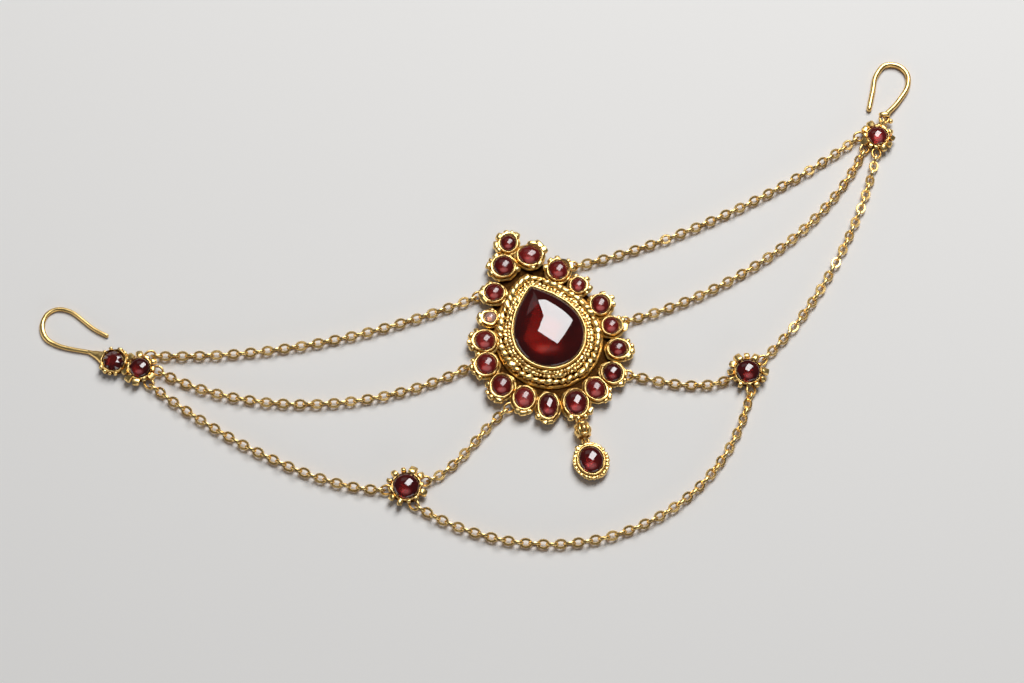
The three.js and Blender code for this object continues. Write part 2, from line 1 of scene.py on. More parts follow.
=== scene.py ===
"""Looks of a gold matha patti: a garnet pendant with its drop, flowers, hooks and chains.

Shapes are worked out in millimetres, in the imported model's own frame, and become metres when a
mesh is made.
"""

import logging
import math
from dataclasses import dataclass, field
from enum import Enum
from typing import NamedTuple, Optional, Sequence

import bpy
import numpy as np
from bpy.types import Material, Mesh, Node, NodeSocket, NodeTree, Object
from mathutils import Matrix, Vector, noise


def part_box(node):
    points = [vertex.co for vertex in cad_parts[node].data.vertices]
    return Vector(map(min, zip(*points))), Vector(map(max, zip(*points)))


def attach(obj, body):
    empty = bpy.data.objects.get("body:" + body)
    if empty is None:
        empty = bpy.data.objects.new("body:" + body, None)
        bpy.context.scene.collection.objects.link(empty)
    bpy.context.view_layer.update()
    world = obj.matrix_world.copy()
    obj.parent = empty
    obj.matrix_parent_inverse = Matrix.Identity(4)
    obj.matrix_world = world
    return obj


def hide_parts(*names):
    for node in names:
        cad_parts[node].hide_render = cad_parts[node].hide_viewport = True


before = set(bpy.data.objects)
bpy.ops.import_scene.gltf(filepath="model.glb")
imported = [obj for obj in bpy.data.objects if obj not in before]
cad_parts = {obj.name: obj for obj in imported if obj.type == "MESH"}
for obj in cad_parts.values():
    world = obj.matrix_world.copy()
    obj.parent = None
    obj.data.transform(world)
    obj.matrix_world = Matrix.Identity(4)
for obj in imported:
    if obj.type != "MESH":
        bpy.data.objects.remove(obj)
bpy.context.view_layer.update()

LOG = logging.getLogger("matha_patti")
MM = 0.001
UP = Vector((0.0, 0.0, 1.0))
STONE_GAP = 0.25
DENT_SEED = 7
# Values stored at each point: on gold, tarnish together with painted shade in hollows, on undersides and
# between parts; in stones, a painted glow
PATINA_AND_SHADE = "patina_and_shade"
GLOW = "glow"
FACING = "facing"
SIZE = "size"

Profile = Sequence[tuple[float, float, float]]
Colour = tuple[float, float, float]


class Slot(Enum):
    """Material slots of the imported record."""

    GOLD = "gold"
    GARNET = "garnet"
    PALE_GARNET = "pale_garnet"


class Finish(Enum):
    """Finishes of the ornament: the gold's colours carry painted shade and a painted highlight, the
    garnets' a painted glow.
    """

    GOLD = "hand_worked_gold"
    CENTRE_GARNET = "centre_garnet"
    GARNET = "garnet"
    WORN_GARNET = "worn_garnet"
    PALE_GARNET = "pale_garnet"

    @property
    def slot(self) -> Slot:
        """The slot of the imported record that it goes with."""
        return {Finish.GOLD: Slot.GOLD, Finish.PALE_GARNET: Slot.PALE_GARNET}.get(self, Slot.GARNET)


class Shading(Enum):
    """How a piece's faces meet: rounded off, or cut flat."""

    ROUNDED = "rounded"
    FACETED = "faceted"


# Meshes in the making


@dataclass
class Shell:
    """Closed surfaces in the making.

    Args:
        points: Corner points in millimetres, one row each.
        faces: Corner numbers of each face, anticlockwise from outside.
        shade: A value from 0 to 1 at each point: tarnish with painted shade on gold, painted glow in a
            stone.
    """

    points: np.ndarray
    faces: list[tuple[int, ...]]
    shade: np.ndarray

    def placed(self, place: Matrix) -> "Shell":
        """Moves the shell.

        Args:
            place: The move, in millimetres.

        Returns:
            A moved copy.
        """
        matrix = np.array(place)
        points = self.points @ matrix[:3, :3].T + matrix[:3, 3]
        return Shell(points, self.faces, self.shade)

    def wobbled(self, reach: float, wave: float) -> "Shell":
        """Dents the shell a little, as hand work does.

        Args:
            reach: The furthest that a point moves, in millimetres.
            wave: The distance from one dent to the next.

        Returns:
            A dented copy.
        """
        moves = [noise.noise_vector(Vector(point) / wave) for point in self.points]
        return Shell(self.points + reach * np.array(moves), self.faces, self.shade)


def merged(shells: Sequence[Shell]) -> Shell:
    """Puts several shells in one.

    Args:
        shells: The shells, each closed.

    Returns:
        One shell that holds them all.
    """
    faces: list[tuple[int, ...]] = []
    start = 0
    for shell in shells:
        faces.extend(tuple(corner + start for corner in face) for face in shell.faces)
        start += len(shell.points)
    points = np.concatenate([shell.points for shell in shells])
    shade = np.concatenate([shell.shade for shell in shells])
    return Shell(points, faces, shade)


def loft(rings: Sequence[np.ndarray], shades: Sequence[float], loops: bool = False) -> Shell:
    """Skins rings of points that run the same way round.

    Args:
        rings: The rings, from the foot of the outside to the end of the inside.
        shades: One value for each ring.
        loops: True where the last ring meets the first, instead of fans that close both ends.

    Returns:
        The closed shell.
    """
    sides = len(rings[0])
    count = len(rings)
    faces: list[tuple[int, ...]] = []
    for row in range(count if loops else count - 1):
        low = row * sides
        high = ((row + 1) % count) * sides
        for side in range(sides):
            after = (side + 1) % sides
            faces.append((low + side, low + after, high + after, high + side))
    points = np.concatenate(rings)
    shade = np.repeat(np.array(shades, float), sides)
    if loops:
        return Shell(points, faces, shade)
    foot = len(points)
    last = (count - 1) * sides
    for side in range(sides):
        after = (side + 1) % sides
        faces.append((foot, after, side))
        faces.append((foot + 1, last + side, last + after))
    points = np.concatenate([points, [rings[0].mean(0)], [rings[-1].mean(0)]])
    return Shell(points, faces, np.concatenate([shade, [shades[0], shades[-1]]]))


def oval(half_wide: float, half_long: float, z: float, sides: int) -> np.ndarray:
    """Points of a level oval round the origin.

    Args:
        half_wide: Half its size in X.
        half_long: Half its size in Y.
        z: Its height.
        sides: How many points it has.

    Returns:
        The points, anticlockwise from +X.
    """
    angles = np.arange(sides) * math.tau / sides
    return np.stack([half_wide * np.cos(angles), half_long * np.sin(angles), np.full(sides, z)], 1)


def sweep(
    path: np.ndarray, wide: Sequence[float], high: Sequence[float], sides: int, shade: float
) -> Shell:
    """Draws a wire with an oval section along a path over the table, with rounded ends.

    Args:
        path: The points of the wire's middle.
        wide: Half the wire's size across, at each point.
        high: Half the wire's height, at each point.
        sides: Points round the section.
        shade: Darkening at the underside, tarnish with painted shade, which fades to none on top.

    Returns:
        The closed wire.
    """
    along = np.gradient(path, axis=0)
    along /= np.linalg.norm(along, axis=1)[:, None]
    across = np.cross(along, np.array(UP))
    across /= np.linalg.norm(across, axis=1)[:, None]
    over = np.cross(across, along)
    angles = np.arange(sides) * math.tau / sides
    rings = []
    # Two rings beyond each end, smaller and further out, round the wire off
    shrink = [0.45, 0.85, *([1.0] * len(path)), 0.85, 0.45]
    back = [0.9, 0.5, *([0.0] * len(path)), -0.5, -0.9]
    order = [0, 0, *range(len(path)), len(path) - 1, len(path) - 1]
    for step, thin, shift in zip(order, shrink, back):
        middle = path[step] - along[step] * shift * high[step]
        rings.append(
            middle
            + np.outer(np.cos(angles) * wide[step] * thin, across[step])
            + np.outer(np.sin(angles) * high[step] * thin, over[step])
        )
    shell = loft(rings, [0.0] * len(rings))
    # Darker towards the underside: tarnish with painted shade
    under = (1 - np.sin(angles)) / 2 * shade
    shell.shade[: len(rings) * sides] = np.tile(under, len(rings))
    return shell


def wire_oval(length: float, width: float, wire: float) -> Shell:
    """A ring of wire in the XY plane, long in X.

    Args:
        length: Its outside size in X.
        width: Its outside size in Y.
        wire: The wire's thickness.

    Returns:
        The closed ring.
    """
    # The ring darkens towards its inner side, none at its outer edge: tarnish with painted shade
    steps, sides, patina_and_shade = 24, 10, 0.35
    half_long, half_wide = (length - wire) / 2, (width - wire) / 2
    rolls = np.arange(sides) * math.tau / sides
    rings = []
    for step in range(steps):
        angle = step * math.tau / steps
        out = np.array([half_wide * math.cos(angle), half_long * math.sin(angle), 0.0])
        out /= np.linalg.norm(out)
        middle = np.array([half_long * math.cos(angle), half_wide * math.sin(angle), 0.0])
        section = np.outer(np.cos(rolls), out) - np.outer(np.sin(rolls), np.array(UP))
        rings.append(middle + section * wire / 2)
    shell = loft(rings, [0.0] * steps, loops=True)
    shell.shade = np.tile((1 - np.cos(rolls)) * patina_and_shade, steps)
    return shell


def along_table(position: Vector, direction: Vector, lean: float) -> Matrix:
    """Where a ring lies that runs along the table.

    Args:
        position: Its middle.
        direction: Its long way, level and of length 1.
        lean: How far its plane turns about that way, in radians.

    Returns:
        The move that puts the ring there.
    """
    side = UP.cross(direction)
    across = side * math.cos(lean) + UP * math.sin(lean)
    normal = direction.cross(across)
    turn = Matrix((direction, across, normal)).transposed().to_4x4()
    return Matrix.Translation(position) @ turn


def drawn_curve(marks: Sequence[Sequence[float]], steps: int) -> np.ndarray:
    """A curve from the first of four marks to the last, drawn towards the two between.

    Args:
        marks: The marks.
        steps: How many points it has.

    Returns:
        The curve's points.
    """
    first, second, third, fourth = np.array(marks, float)
    share = np.linspace(0, 1, steps)[:, None]
    rest = 1 - share
    curve = rest**3 * first + 3 * rest**2 * share * second
    return curve + 3 * rest * share**2 * third + share**3 * fourth


def smooth_path(points: Profile, steps: int, closed: bool = False) -> np.ndarray:
    """A rounded path through points, which never overshoots where they stand unevenly.

    Args:
        points: The points that it passes.
        steps: Steps from one point to the next.
        closed: True where it comes back to its first point.

    Returns:
        The path's points.
    """
    given = np.array(points, float)
    if closed:
        padded = np.concatenate([given[-1:], given, given[:2]])
    else:
        lead, tail = 2 * given[:1] - given[1:2], 2 * given[-1:] - given[-2:-1]
        padded = np.concatenate([lead, given, tail])
    knots = np.sqrt(np.linalg.norm(np.diff(padded, axis=0), axis=1))
    share = np.arange(steps)[:, None] / steps
    path = []
    for span in range(len(padded) - 3):
        before, here, after, beyond = padded[span : span + 4]
        first, middle, last = knots[span : span + 3]
        pace = (after - here) / middle
        leave = (here - before) / first - (after - before) / (first + middle) + pace
        arrive = pace - (beyond - here) / (middle + last) + (beyond - after) / last
        leave, arrive = leave * middle, arrive * middle
        bend = -3 * here + 3 * after - 2 * leave - arrive
        twist = 2 * here - 2 * after + leave + arrive
        path.append(here + share * leave + share**2 * bend + share**3 * twist)
    if not closed:
        path.append(given[-1:])
    return np.concatenate(path)


def heading(angle: float) -> Vector:
    """The level way at an angle on the table, in degrees."""
    return Vector((math.cos(math.radians(angle)), math.sin(math.radians(angle))))


def frame_middle(node: str) -> Vector:
    """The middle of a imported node's box, in millimetres."""
    low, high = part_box(node)
    return (low + high) / 2 / MM


# Geometry Nodes


def feed(tree: NodeTree, given: object, socket: NodeSocket) -> None:
    """Gives a socket its value.

    Args:
        tree: The tree that holds the socket.
        given: Another socket or a plain value.
        socket: The socket that gets it.
    """
    if isinstance(given, NodeSocket):
        tree.links.new(given, socket)
    else:
        socket.default_value = given


def math_node(tree: NodeTree, operation: str, *values: object) -> NodeSocket:
    """Adds a Math node.

    Args:
        tree: The tree that gets it.
        operation: What it works out.
        values: Sockets or numbers, in the order of the node's inputs.

    Returns:
        The socket with the result.
    """
    made = tree.nodes.new("ShaderNodeMath")
    made.operation = operation
    for given, socket in zip(values, made.inputs):
        feed(tree, given, socket)
    return made.outputs[0]


class NodeForm:
    """A Geometry Nodes tree with named inputs that turns a row of points into a finished mesh."""

    def __init__(self, name: str) -> None:
        """Starts an empty tree that takes and gives geometry.

        Args:
            name: The tree's name.
        """
        self.tree = bpy.data.node_groups.new(name, "GeometryNodeTree")
        self.inputs: dict[str, str] = {}
        self.entry = self.tree.nodes.new("NodeGroupInput")
        self.exit = self.tree.nodes.new("NodeGroupOutput")
        self.tree.interface.new_socket("Geometry", in_out="INPUT", socket_type="NodeSocketGeometry")
        self.tree.interface.new_socket("Geometry", in_out="OUTPUT", socket_type="NodeSocketGeometry")

    def value(self, name: str, kind: str) -> NodeSocket:
        """Adds a named input.

        Args:
            name: The input's name.
            kind: Its socket type.

        Returns:
            The socket that gives the value inside the tree.
        """
        socket = self.tree.interface.new_socket(name, in_out="INPUT", socket_type=kind)
        self.inputs[name] = socket.identifier
        return next(out for out in self.entry.outputs if out.identifier == socket.identifier)

    def node(
        self, kind: str, feeds: Optional[dict[object, object]] = None, **settings: object
    ) -> Node:
        """Adds a node.

        Args:
            kind: Its type.
            feeds: Sockets or values for its inputs, by name or number.
            settings: Its properties.

        Returns:
            The node.
        """
        made = self.tree.nodes.new(kind)
        for key, setting in settings.items():
            setattr(made, key, setting)
        for key, given in (feeds or {}).items():
            feed(self.tree, given, made.inputs[key])
        return made

    def link(self, source: NodeSocket, target: NodeSocket) -> None:
        """Joins two sockets."""
        self.tree.links.new(source, target)

    def sum(self, operation: str, *values: object) -> NodeSocket:
        """A Math node's result, from sockets or numbers."""
        return math_node(self.tree, operation, *values)

    def vector(self, x: object, y: object, z: object) -> NodeSocket:
        """A vector from sockets or numbers."""
        return self.node("ShaderNodeCombineXYZ", {0: x, 1: y, 2: z}).outputs[0]

    def uneven(self, low: object, high: object, seed: NodeSocket) -> NodeSocket:
        """Adds a seeded random number for each point.

        Args:
            low: The least, a socket or a number.
            high: The most, a socket or a number.
            seed: The seed.

        Returns:
            The socket with the number.
        """
        feeds = {2: low, 3: high, "Seed": seed}
        return self.node("FunctionNodeRandomValue", feeds, data_type="FLOAT").outputs[1]

    def turned(self, forward: NodeSocket, turn: NodeSocket) -> NodeSocket:
        """The turn of a copy whose X runs forward and whose Z is as near to up as it can be.

        Args:
            forward: The way that X runs.
            turn: A further turn about the copy's own axes, as Euler angles.

        Returns:
            The socket with the rotation.
        """
        axes = self.node(
            "FunctionNodeAxesToRotation", {0: forward, 1: UP}, primary_axis="X", secondary_axis="Z"
        )
        euler = self.node("FunctionNodeEulerToRotation", {0: turn})
        both = self.node(
            "FunctionNodeRotateRotation",
            {0: axes.outputs[0], 1: euler.outputs[0]},
            rotation_space="LOCAL",
        )
        return both.outputs[0]

    def shaded(self, geometry: NodeSocket, low: float, high: float, most: float) -> NodeSocket:
        """Stores tarnish with painted shade, which fades with height: darkest low down.

        Args:
            geometry: What gets it.
            low: The height with the most tarnish and painted shade.
            high: The height with none.
            most: The most tarnish and painted shade.

        Returns:
            The socket with the geometry.
        """
        place = self.node("GeometryNodeInputPosition")
        split = self.node("ShaderNodeSeparateXYZ", {0: place.outputs[0]})
        fade = self.node(
            "ShaderNodeMapRange",
            {
                "Value": split.outputs[2],
                "From Min": low,
                "From Max": high,
                "To Min": most,
                "To Max": 0.0,
            },
        )
        store = self.node(
            "GeometryNodeStoreNamedAttribute",
            {"Name": PATINA_AND_SHADE, "Geometry": geometry, "Value": fade.outputs[0]},
            data_type="FLOAT", domain="POINT",
        )
        return store.outputs[0]

    def close(self, copies: NodeSocket, fade: Optional[tuple[float, float, float]] = None) -> None:
        """Ends the tree: real copies, rounded, in their finish.

        Args:
            copies: The instances.
            fade: Heights and amount for shaded, where the copies carry no tarnish and painted shade of
                their own.
        """
        real = self.node("GeometryNodeRealizeInstances", {0: copies})
        shown = self.shaded(real.outputs[0], *fade) if fade else real.outputs[0]
        smooth = self.node("GeometryNodeSetShadeSmooth", {0: shown})
        dress = self.node(
            "GeometryNodeSetMaterial",
            {"Geometry": smooth.outputs[0], "Material": self.value("Finish", "NodeSocketMaterial")},
        )
        self.link(dress.outputs[0], self.exit.inputs[0])

    def grown(self, base: Mesh, **values: object) -> Shell:
        """Runs the tree on a mesh and gives the plain result.

        Args:
            base: The mesh with the path or the points.
            values: The tree's inputs, with _ for spaces.

        Returns:
            The finished mesh as a shell.
        """
        holder = bpy.data.objects.new(base.name, base)
        bpy.context.scene.collection.objects.link(holder)
        modifier = holder.modifiers.new(self.tree.name, "NODES")
        modifier.node_group = self.tree
        for key, given in values.items():
            modifier[self.inputs[key.replace("_", " ")]] = given
        graph = bpy.context.evaluated_depsgraph_get()
        made = bpy.data.meshes.new_from_object(holder.evaluated_get(graph))
        holder.modifiers.remove(modifier)
        bpy.data.objects.remove(holder)
        shell = self.plain(made)
        bpy.data.meshes.remove(made)
        bpy.data.meshes.remove(base)
        return shell

    @staticmethod
    def plain(made: Mesh) -> Shell:
        """Reads a mesh.

        Args:
            made: The mesh, in millimetres.

        Returns:
            Its points, faces, and tarnish with painted shade.
        """
        points = np.zeros(len(made.vertices) * 3)
        made.vertices.foreach_get("co", points)
        shade = np.zeros(len(made.vertices))
        made.attributes[PATINA_AND_SHADE].data.foreach_get("value", shade)
        faces = [tuple(face.vertices) for face in made.polygons]
        return Shell(points.reshape(-1, 3), faces, shade)


def line_mesh(name: str, lines: Sequence[np.ndarray], closed: bool) -> Mesh:
    """A mesh of bare edges for a tree to follow.

    Args:
        name: The mesh's name.
        lines: The lines' points.
        closed: True where each line comes back to its start.

    Returns:
        The mesh.
    """
    edges = []
    start = 0
    for line in lines:
        last = len(line) if closed else len(line) - 1
        edges.extend((start + step, start + (step + 1) % len(line)) for step in range(last))
        start += len(line)
    mesh = bpy.data.meshes.new(name)
    mesh.from_pydata(np.concatenate(lines).tolist(), edges, [])
    return mesh


@dataclass
class Granule:
    """A grain, petal or rib of gold.

    Args:
        place: Its middle.
        facing: The level way that it points.
        size: Its length that way, its width and its height.
    """

    place: tuple[float, float, float]
    facing: tuple[float, float]
    size: tuple[float, float, float]


class ChainForm(NodeForm):
    """Oval links along a path, leaning left and right by turns."""

    # Links darken from their tops down to the table: tarnish with painted shade
    FADE = (0.0, 1.2, 0.85)
    STEPS, SIDES = 12, 6

    def __init__(self) -> None:
        """Builds the tree."""
        super().__init__("chain_links")
        length = self.value("Link Length", "NodeSocketFloat")
        width = self.value("Link Width", "NodeSocketFloat")
        wire = self.value("Wire", "NodeSocketFloat")
        count = self.value("Links", "NodeSocketInt")
        gap = self.value("End Gap", "NodeSocketFloat")
        lean = self.value("Lean", "NodeSocketFloat")
        roll = self.value("Roll", "NodeSocketFloat")
        slack = self.value("Slack", "NodeSocketFloat")
        seed = self.value("Seed", "NodeSocketInt")
        curve = self.node("GeometryNodeMeshToCurve", {0: self.entry.outputs[0]})
        whole = self.node("GeometryNodeCurveLength", {0: curve.outputs[0]})
        trim = self.node(
            "GeometryNodeTrimCurve",
            {0: curve.outputs[0], 4: gap, 5: self.sum("SUBTRACT", whole.outputs[0], gap)},
            mode="LENGTH",
        )
        dots = self.node(
            "GeometryNodeCurveToPoints", {0: trim.outputs[0], "Count": count}, mode="COUNT"
        )
        index = self.node("GeometryNodeInputIndex")
        side = self.sum("MULTIPLY_ADD", self.sum("MODULO", index.outputs[0], 2.0), 2.0, -1.0)
        loose = self.uneven(self.sum("MULTIPLY", slack, -1.0), slack, seed)
        turn = self.sum("ADD", self.sum("ADD", self.sum("MULTIPLY", side, lean), roll), loose)
        copy = self.node(
            "GeometryNodeInstanceOnPoints",
            {"Points": dots.outputs["Points"], "Instance": self.one_link(length, width, wire)},
        )
        turned = self.turned(dots.outputs["Tangent"], self.vector(turn, 0.0, 0.0))
        self.link(turned, copy.inputs["Rotation"])
        self.close(copy.outputs[0], fade=self.FADE)

    def one_link(self, length: NodeSocket, width: NodeSocket, wire: NodeSocket) -> NodeSocket:
        """Adds the nodes of a single link.

        Args:
            length: Its outside length.
            width: Its outside width.
            wire: Its wire's thickness.

        Returns:
            The socket with the link's mesh.
        """
        loop = self.node(
            "GeometryNodeCurvePrimitiveCircle", {"Resolution": self.STEPS, "Radius": 1.0}
        )
        half_long = self.sum("MULTIPLY", self.sum("SUBTRACT", length, wire), 0.5)
        half_wide = self.sum("MULTIPLY", self.sum("SUBTRACT", width, wire), 0.5)
        stretch = self.node(
            "GeometryNodeTransform",
            {"Geometry": loop.outputs[0], "Scale": self.vector(half_long, half_wide, 1.0)},
        )
        section = self.node(
            "GeometryNodeCurvePrimitiveCircle",
            {"Resolution": self.SIDES, "Radius": self.sum("MULTIPLY", wire, 0.5)},
        )
        skin = self.node(
            "GeometryNodeCurveToMesh",
            {"Curve": stretch.outputs[0], "Profile Curve": section.outputs[0]},
        )
        return skin.outputs[0]


class BeadForm(NodeForm):
    """Beads along closed paths, each turned a little, as in a rope or a row of grains."""

    def __init__(self) -> None:
        """Builds the tree."""
        super().__init__("bead_row")
        pitch = self.value("Pitch", "NodeSocketFloat")
        length = self.value("Length", "NodeSocketFloat")
        width = self.value("Width", "NodeSocketFloat")
        height = self.value("Height", "NodeSocketFloat")
        twist = self.value("Twist", "NodeSocketFloat")
        wander = self.value("Unevenness", "NodeSocketFloat")
        roundness = self.value("Roundness", "NodeSocketFloat")
        seed = self.value("Seed", "NodeSocketInt")
        curve = self.node("GeometryNodeMeshToCurve", {0: self.entry.outputs[0]})
        dots = self.node(
            "GeometryNodeCurveToPoints", {0: curve.outputs[0], "Length": pitch}, mode="LENGTH"
        )
        less = self.sum("MULTIPLY", wander, -1.0)
        swell = self.sum("ADD", self.uneven(less, wander, seed), 1.0)
        size = self.node(
            "ShaderNodeVectorMath",
            {0: self.vector(length, width, height), "Scale": swell},
            operation="SCALE",
        )
        yaw = self.sum("ADD", twist, self.uneven(less, wander, self.sum("ADD", seed, 1.0)))
        copy = self.node(
            "GeometryNodeInstanceOnPoints",
            {"Points": dots.outputs["Points"], "Instance": bead_nodes(self, roundness)},
        )
        turned = self.turned(dots.outputs["Tangent"], self.vector(0.0, 0.0, yaw))
        self.link(turned, copy.inputs["Rotation"])
        self.link(size.outputs[0], copy.inputs["Scale"])
        self.close(copy.outputs[0])


class GranuleForm(NodeForm):
    """A grain on each point, of the point's own size and facing."""

    def __init__(self) -> None:
        """Builds the tree."""
        super().__init__("granules")
        wander = self.value("Unevenness", "NodeSocketFloat")
        roundness = self.value("Roundness", "NodeSocketFloat")
        tilt = self.value("Tilt", "NodeSocketFloat")
        seed = self.value("Seed", "NodeSocketInt")
        facing = self.node(
            "GeometryNodeInputNamedAttribute", {"Name": FACING}, data_type="FLOAT_VECTOR"
        )
        size = self.node(
            "GeometryNodeInputNamedAttribute", {"Name": SIZE}, data_type="FLOAT_VECTOR"
        )
        less = self.sum("MULTIPLY", wander, -1.0)
        swell = self.node(
            "ShaderNodeVectorMath",
            {0: size.outputs[0], "Scale": self.sum("ADD", self.uneven(less, wander, seed), 1.0)},
            operation="SCALE",
        )
        yaw = self.uneven(less, wander, self.sum("ADD", seed, 1.0))
        droop = self.sum("ADD", tilt, self.uneven(less, wander, self.sum("ADD", seed, 2.0)))
        copy = self.node(
            "GeometryNodeInstanceOnPoints",
            {"Points": self.entry.outputs[0], "Instance": bead_nodes(self, roundness)},
        )
        turned = self.turned(facing.outputs[0], self.vector(0.0, droop, yaw))
        self.link(turned, copy.inputs["Rotation"])
        self.link(swell.outputs[0], copy.inputs["Scale"])
        self.close(copy.outputs[0])

    def scattered(
        self,
        granules: Sequence[Granule],
        finish: Material,
        wander: float,
        roundness: float,
        tilt: float = 0.0,
        seed: int = 0,
    ) -> Shell:
        """Makes the grains.

        Args:
            granules: Where and how large they are.
            finish: Their material.
            wander: How uneven they are, as a share of their size.
            roundness: From 0 for a block to 1 for a ball.
            tilt: How far their far ends hang down, in radians.
            seed: The seed of the unevenness.

        Returns:
            The grains as one shell.
        """
        mesh = bpy.data.meshes.new("granule_points")
        mesh.from_pydata([granule.place for granule in granules], [], [])
        ways = mesh.attributes.new(FACING, "FLOAT_VECTOR", "POINT")
        sizes = mesh.attributes.new(SIZE, "FLOAT_VECTOR", "POINT")
        for number, granule in enumerate(granules):
            ways.data[number].vector = (*granule.facing, 0.0)
            sizes.data[number].vector = granule.size
        return self.grown(
            mesh, Unevenness=wander, Roundness=roundness, Tilt=tilt, Seed=seed, Finish=finish
        )


BEAD_ROWS = 4
# Beads darken towards their undersides: tarnish with painted shade
BEAD_FADE = (-0.42, 0.12, 0.85)


def bead_nodes(form: NodeForm, roundness: NodeSocket) -> NodeSocket:
    """Adds a bead of size 1, darker towards its underside with tarnish and painted shade.

    Args:
        form: The tree that gets it.
        roundness: From 0 for a block to 1 for a ball.

    Returns:
        The socket with the bead's mesh.
    """
    cube = form.node("GeometryNodeMeshCube")
    for axis in "XYZ":
        cube.inputs[f"Vertices {axis}"].default_value = BEAD_ROWS
    place = form.node("GeometryNodeInputPosition").outputs[0]
    out = form.node("ShaderNodeVectorMath", {0: place}, operation="NORMALIZE")
    ball = form.node("ShaderNodeVectorMath", {"Scale": 0.5, 0: out.outputs[0]}, operation="SCALE")
    change = form.node("ShaderNodeVectorMath", {0: ball.outputs[0], 1: place}, operation="SUBTRACT")
    part = form.node(
        "ShaderNodeVectorMath", {0: change.outputs[0], "Scale": roundness}, operation="SCALE"
    )
    shift = form.node(
        "GeometryNodeSetPosition", {"Geometry": cube.outputs[0], "Offset": part.outputs[0]}
    )
    return form.shaded(shift.outputs[0], *BEAD_FADE)


# Finishes


class SurfaceGroups:
    """Shader node groups that more than one finish uses."""

    FINE_MARKS = 0.35
    PATCHES = (0.9, -0.45)
    TARNISH_RANGE = (0.1, 1.0)
    CLOUD_SHARE = 0.5
    DEPTH_RANGE = (0.15, 1.2)

    def __init__(self) -> None:
        """Builds the groups."""
        self.handwork_and_shade = self.handwork_and_shade_group()
        self.cloud = self.cloud_group()

    @staticmethod
    def started(
        name: str, takes: Sequence[str], gives: Sequence[str]
    ) -> tuple[NodeTree, Node, Node]:
        """Starts a shader group.

        Args:
            name: Its name.
            takes: Its inputs, all numbers.
            gives: Its outputs, all numbers.

        Returns:
            The tree, its entry node and its exit node.
        """
        tree = bpy.data.node_groups.new(name, "ShaderNodeTree")
        for socket in takes:
            tree.interface.new_socket(socket, in_out="INPUT", socket_type="NodeSocketFloat")
        for socket in gives:
            tree.interface.new_socket(socket, in_out="OUTPUT", socket_type="NodeSocketFloat")
        return tree, tree.nodes.new("NodeGroupInput"), tree.nodes.new("NodeGroupOutput")

    @staticmethod
    def noise_node(tree: NodeTree, place: NodeSocket, detail: float) -> Node:
        """Adds a noise texture on object coordinates.

        Args:
            tree: The tree that gets it.
            place: The coordinates.
            detail: Its detail.

        Returns:
            The node.
        """
        made = tree.nodes.new("ShaderNodeTexNoise")
        made.inputs["Detail"].default_value = detail
        tree.links.new(place, made.inputs["Vector"])
        return made

    def handwork_and_shade_group(self) -> NodeTree:
        """Builds the marks of hammer, file and wear, with the tarnish and painted shade stored on the
        meshes.

        Returns:
            A group from Dent Scale, Scratch Scale and Patina Reach to Height, Mottle and Tarnish.
        """
        takes = ["Dent Scale", "Scratch Scale", "Patina_And_Shade Reach"]
        tree, entry, end = self.started("handwork_and_shade", takes, ["Height", "Mottle", "Tarnish_And_Shade"])
        place = tree.nodes.new("ShaderNodeTexCoord").outputs["Object"]
        dents = self.noise_node(tree, place, 2.0)
        tree.links.new(entry.outputs["Dent Scale"], dents.inputs["Scale"])
        scratches = self.noise_node(tree, place, 4.0)
        tree.links.new(entry.outputs["Scratch Scale"], scratches.inputs["Scale"])
        fine, broad = scratches.outputs["Fac"], dents.outputs["Fac"]
        height = math_node(tree, "MULTIPLY_ADD", fine, self.FINE_MARKS, broad)
        tree.links.new(height, end.inputs["Height"])
        tree.links.new(broad, end.inputs["Mottle"])
        # The stored value: tarnish with painted shade in hollows, on undersides and between parts
        grime_and_shade = tree.nodes.new("ShaderNodeAttribute")
        grime_and_shade.attribute_name = PATINA_AND_SHADE
        patchy = math_node(tree, "MULTIPLY_ADD", fine, *self.PATCHES)
        total = math_node(tree, "ADD", grime_and_shade.outputs["Fac"], patchy)
        spread = tree.nodes.new("ShaderNodeMapRange")
        spread.interpolation_type = "SMOOTHSTEP"
        for name, number in zip(("From Min", "From Max"), self.TARNISH_RANGE):
            spread.inputs[name].default_value = number
        tree.links.new(total, spread.inputs["Value"])
        tree.links.new(entry.outputs["Patina_And_Shade Reach"], spread.inputs["To Max"])
        tree.links.new(spread.outputs[0], end.inputs["Tarnish_And_Shade"])
        return tree

    def cloud_group(self) -> NodeTree:
        """Builds the depth of a stone's colour: its clouding with its painted glow.

        Returns:
            A group from Cloud Scale to Depth, where 0 is dark and 1 is painted as lit from within.
        """
        tree, entry, end = self.started("stone_depth", ["Cloud Scale"], ["Depth"])
        place = tree.nodes.new("ShaderNodeTexCoord").outputs["Object"]
        cloud = self.noise_node(tree, place, 3.0)
        tree.links.new(entry.outputs["Cloud Scale"], cloud.inputs["Scale"])
        # The painted glow stored on the stone's mesh
        glow = tree.nodes.new("ShaderNodeAttribute")
        glow.attribute_name = GLOW
        lit = glow.outputs["Fac"]
        depth = math_node(tree, "MULTIPLY_ADD", cloud.outputs["Fac"], self.CLOUD_SHARE, lit)
        spread = tree.nodes.new("ShaderNodeMapRange")
        for name, number in zip(("From Min", "From Max"), self.DEPTH_RANGE):
            spread.inputs[name].default_value = number
        tree.links.new(depth, spread.inputs["Value"])
        tree.links.new(spread.outputs[0], end.inputs["Depth"])
        return tree


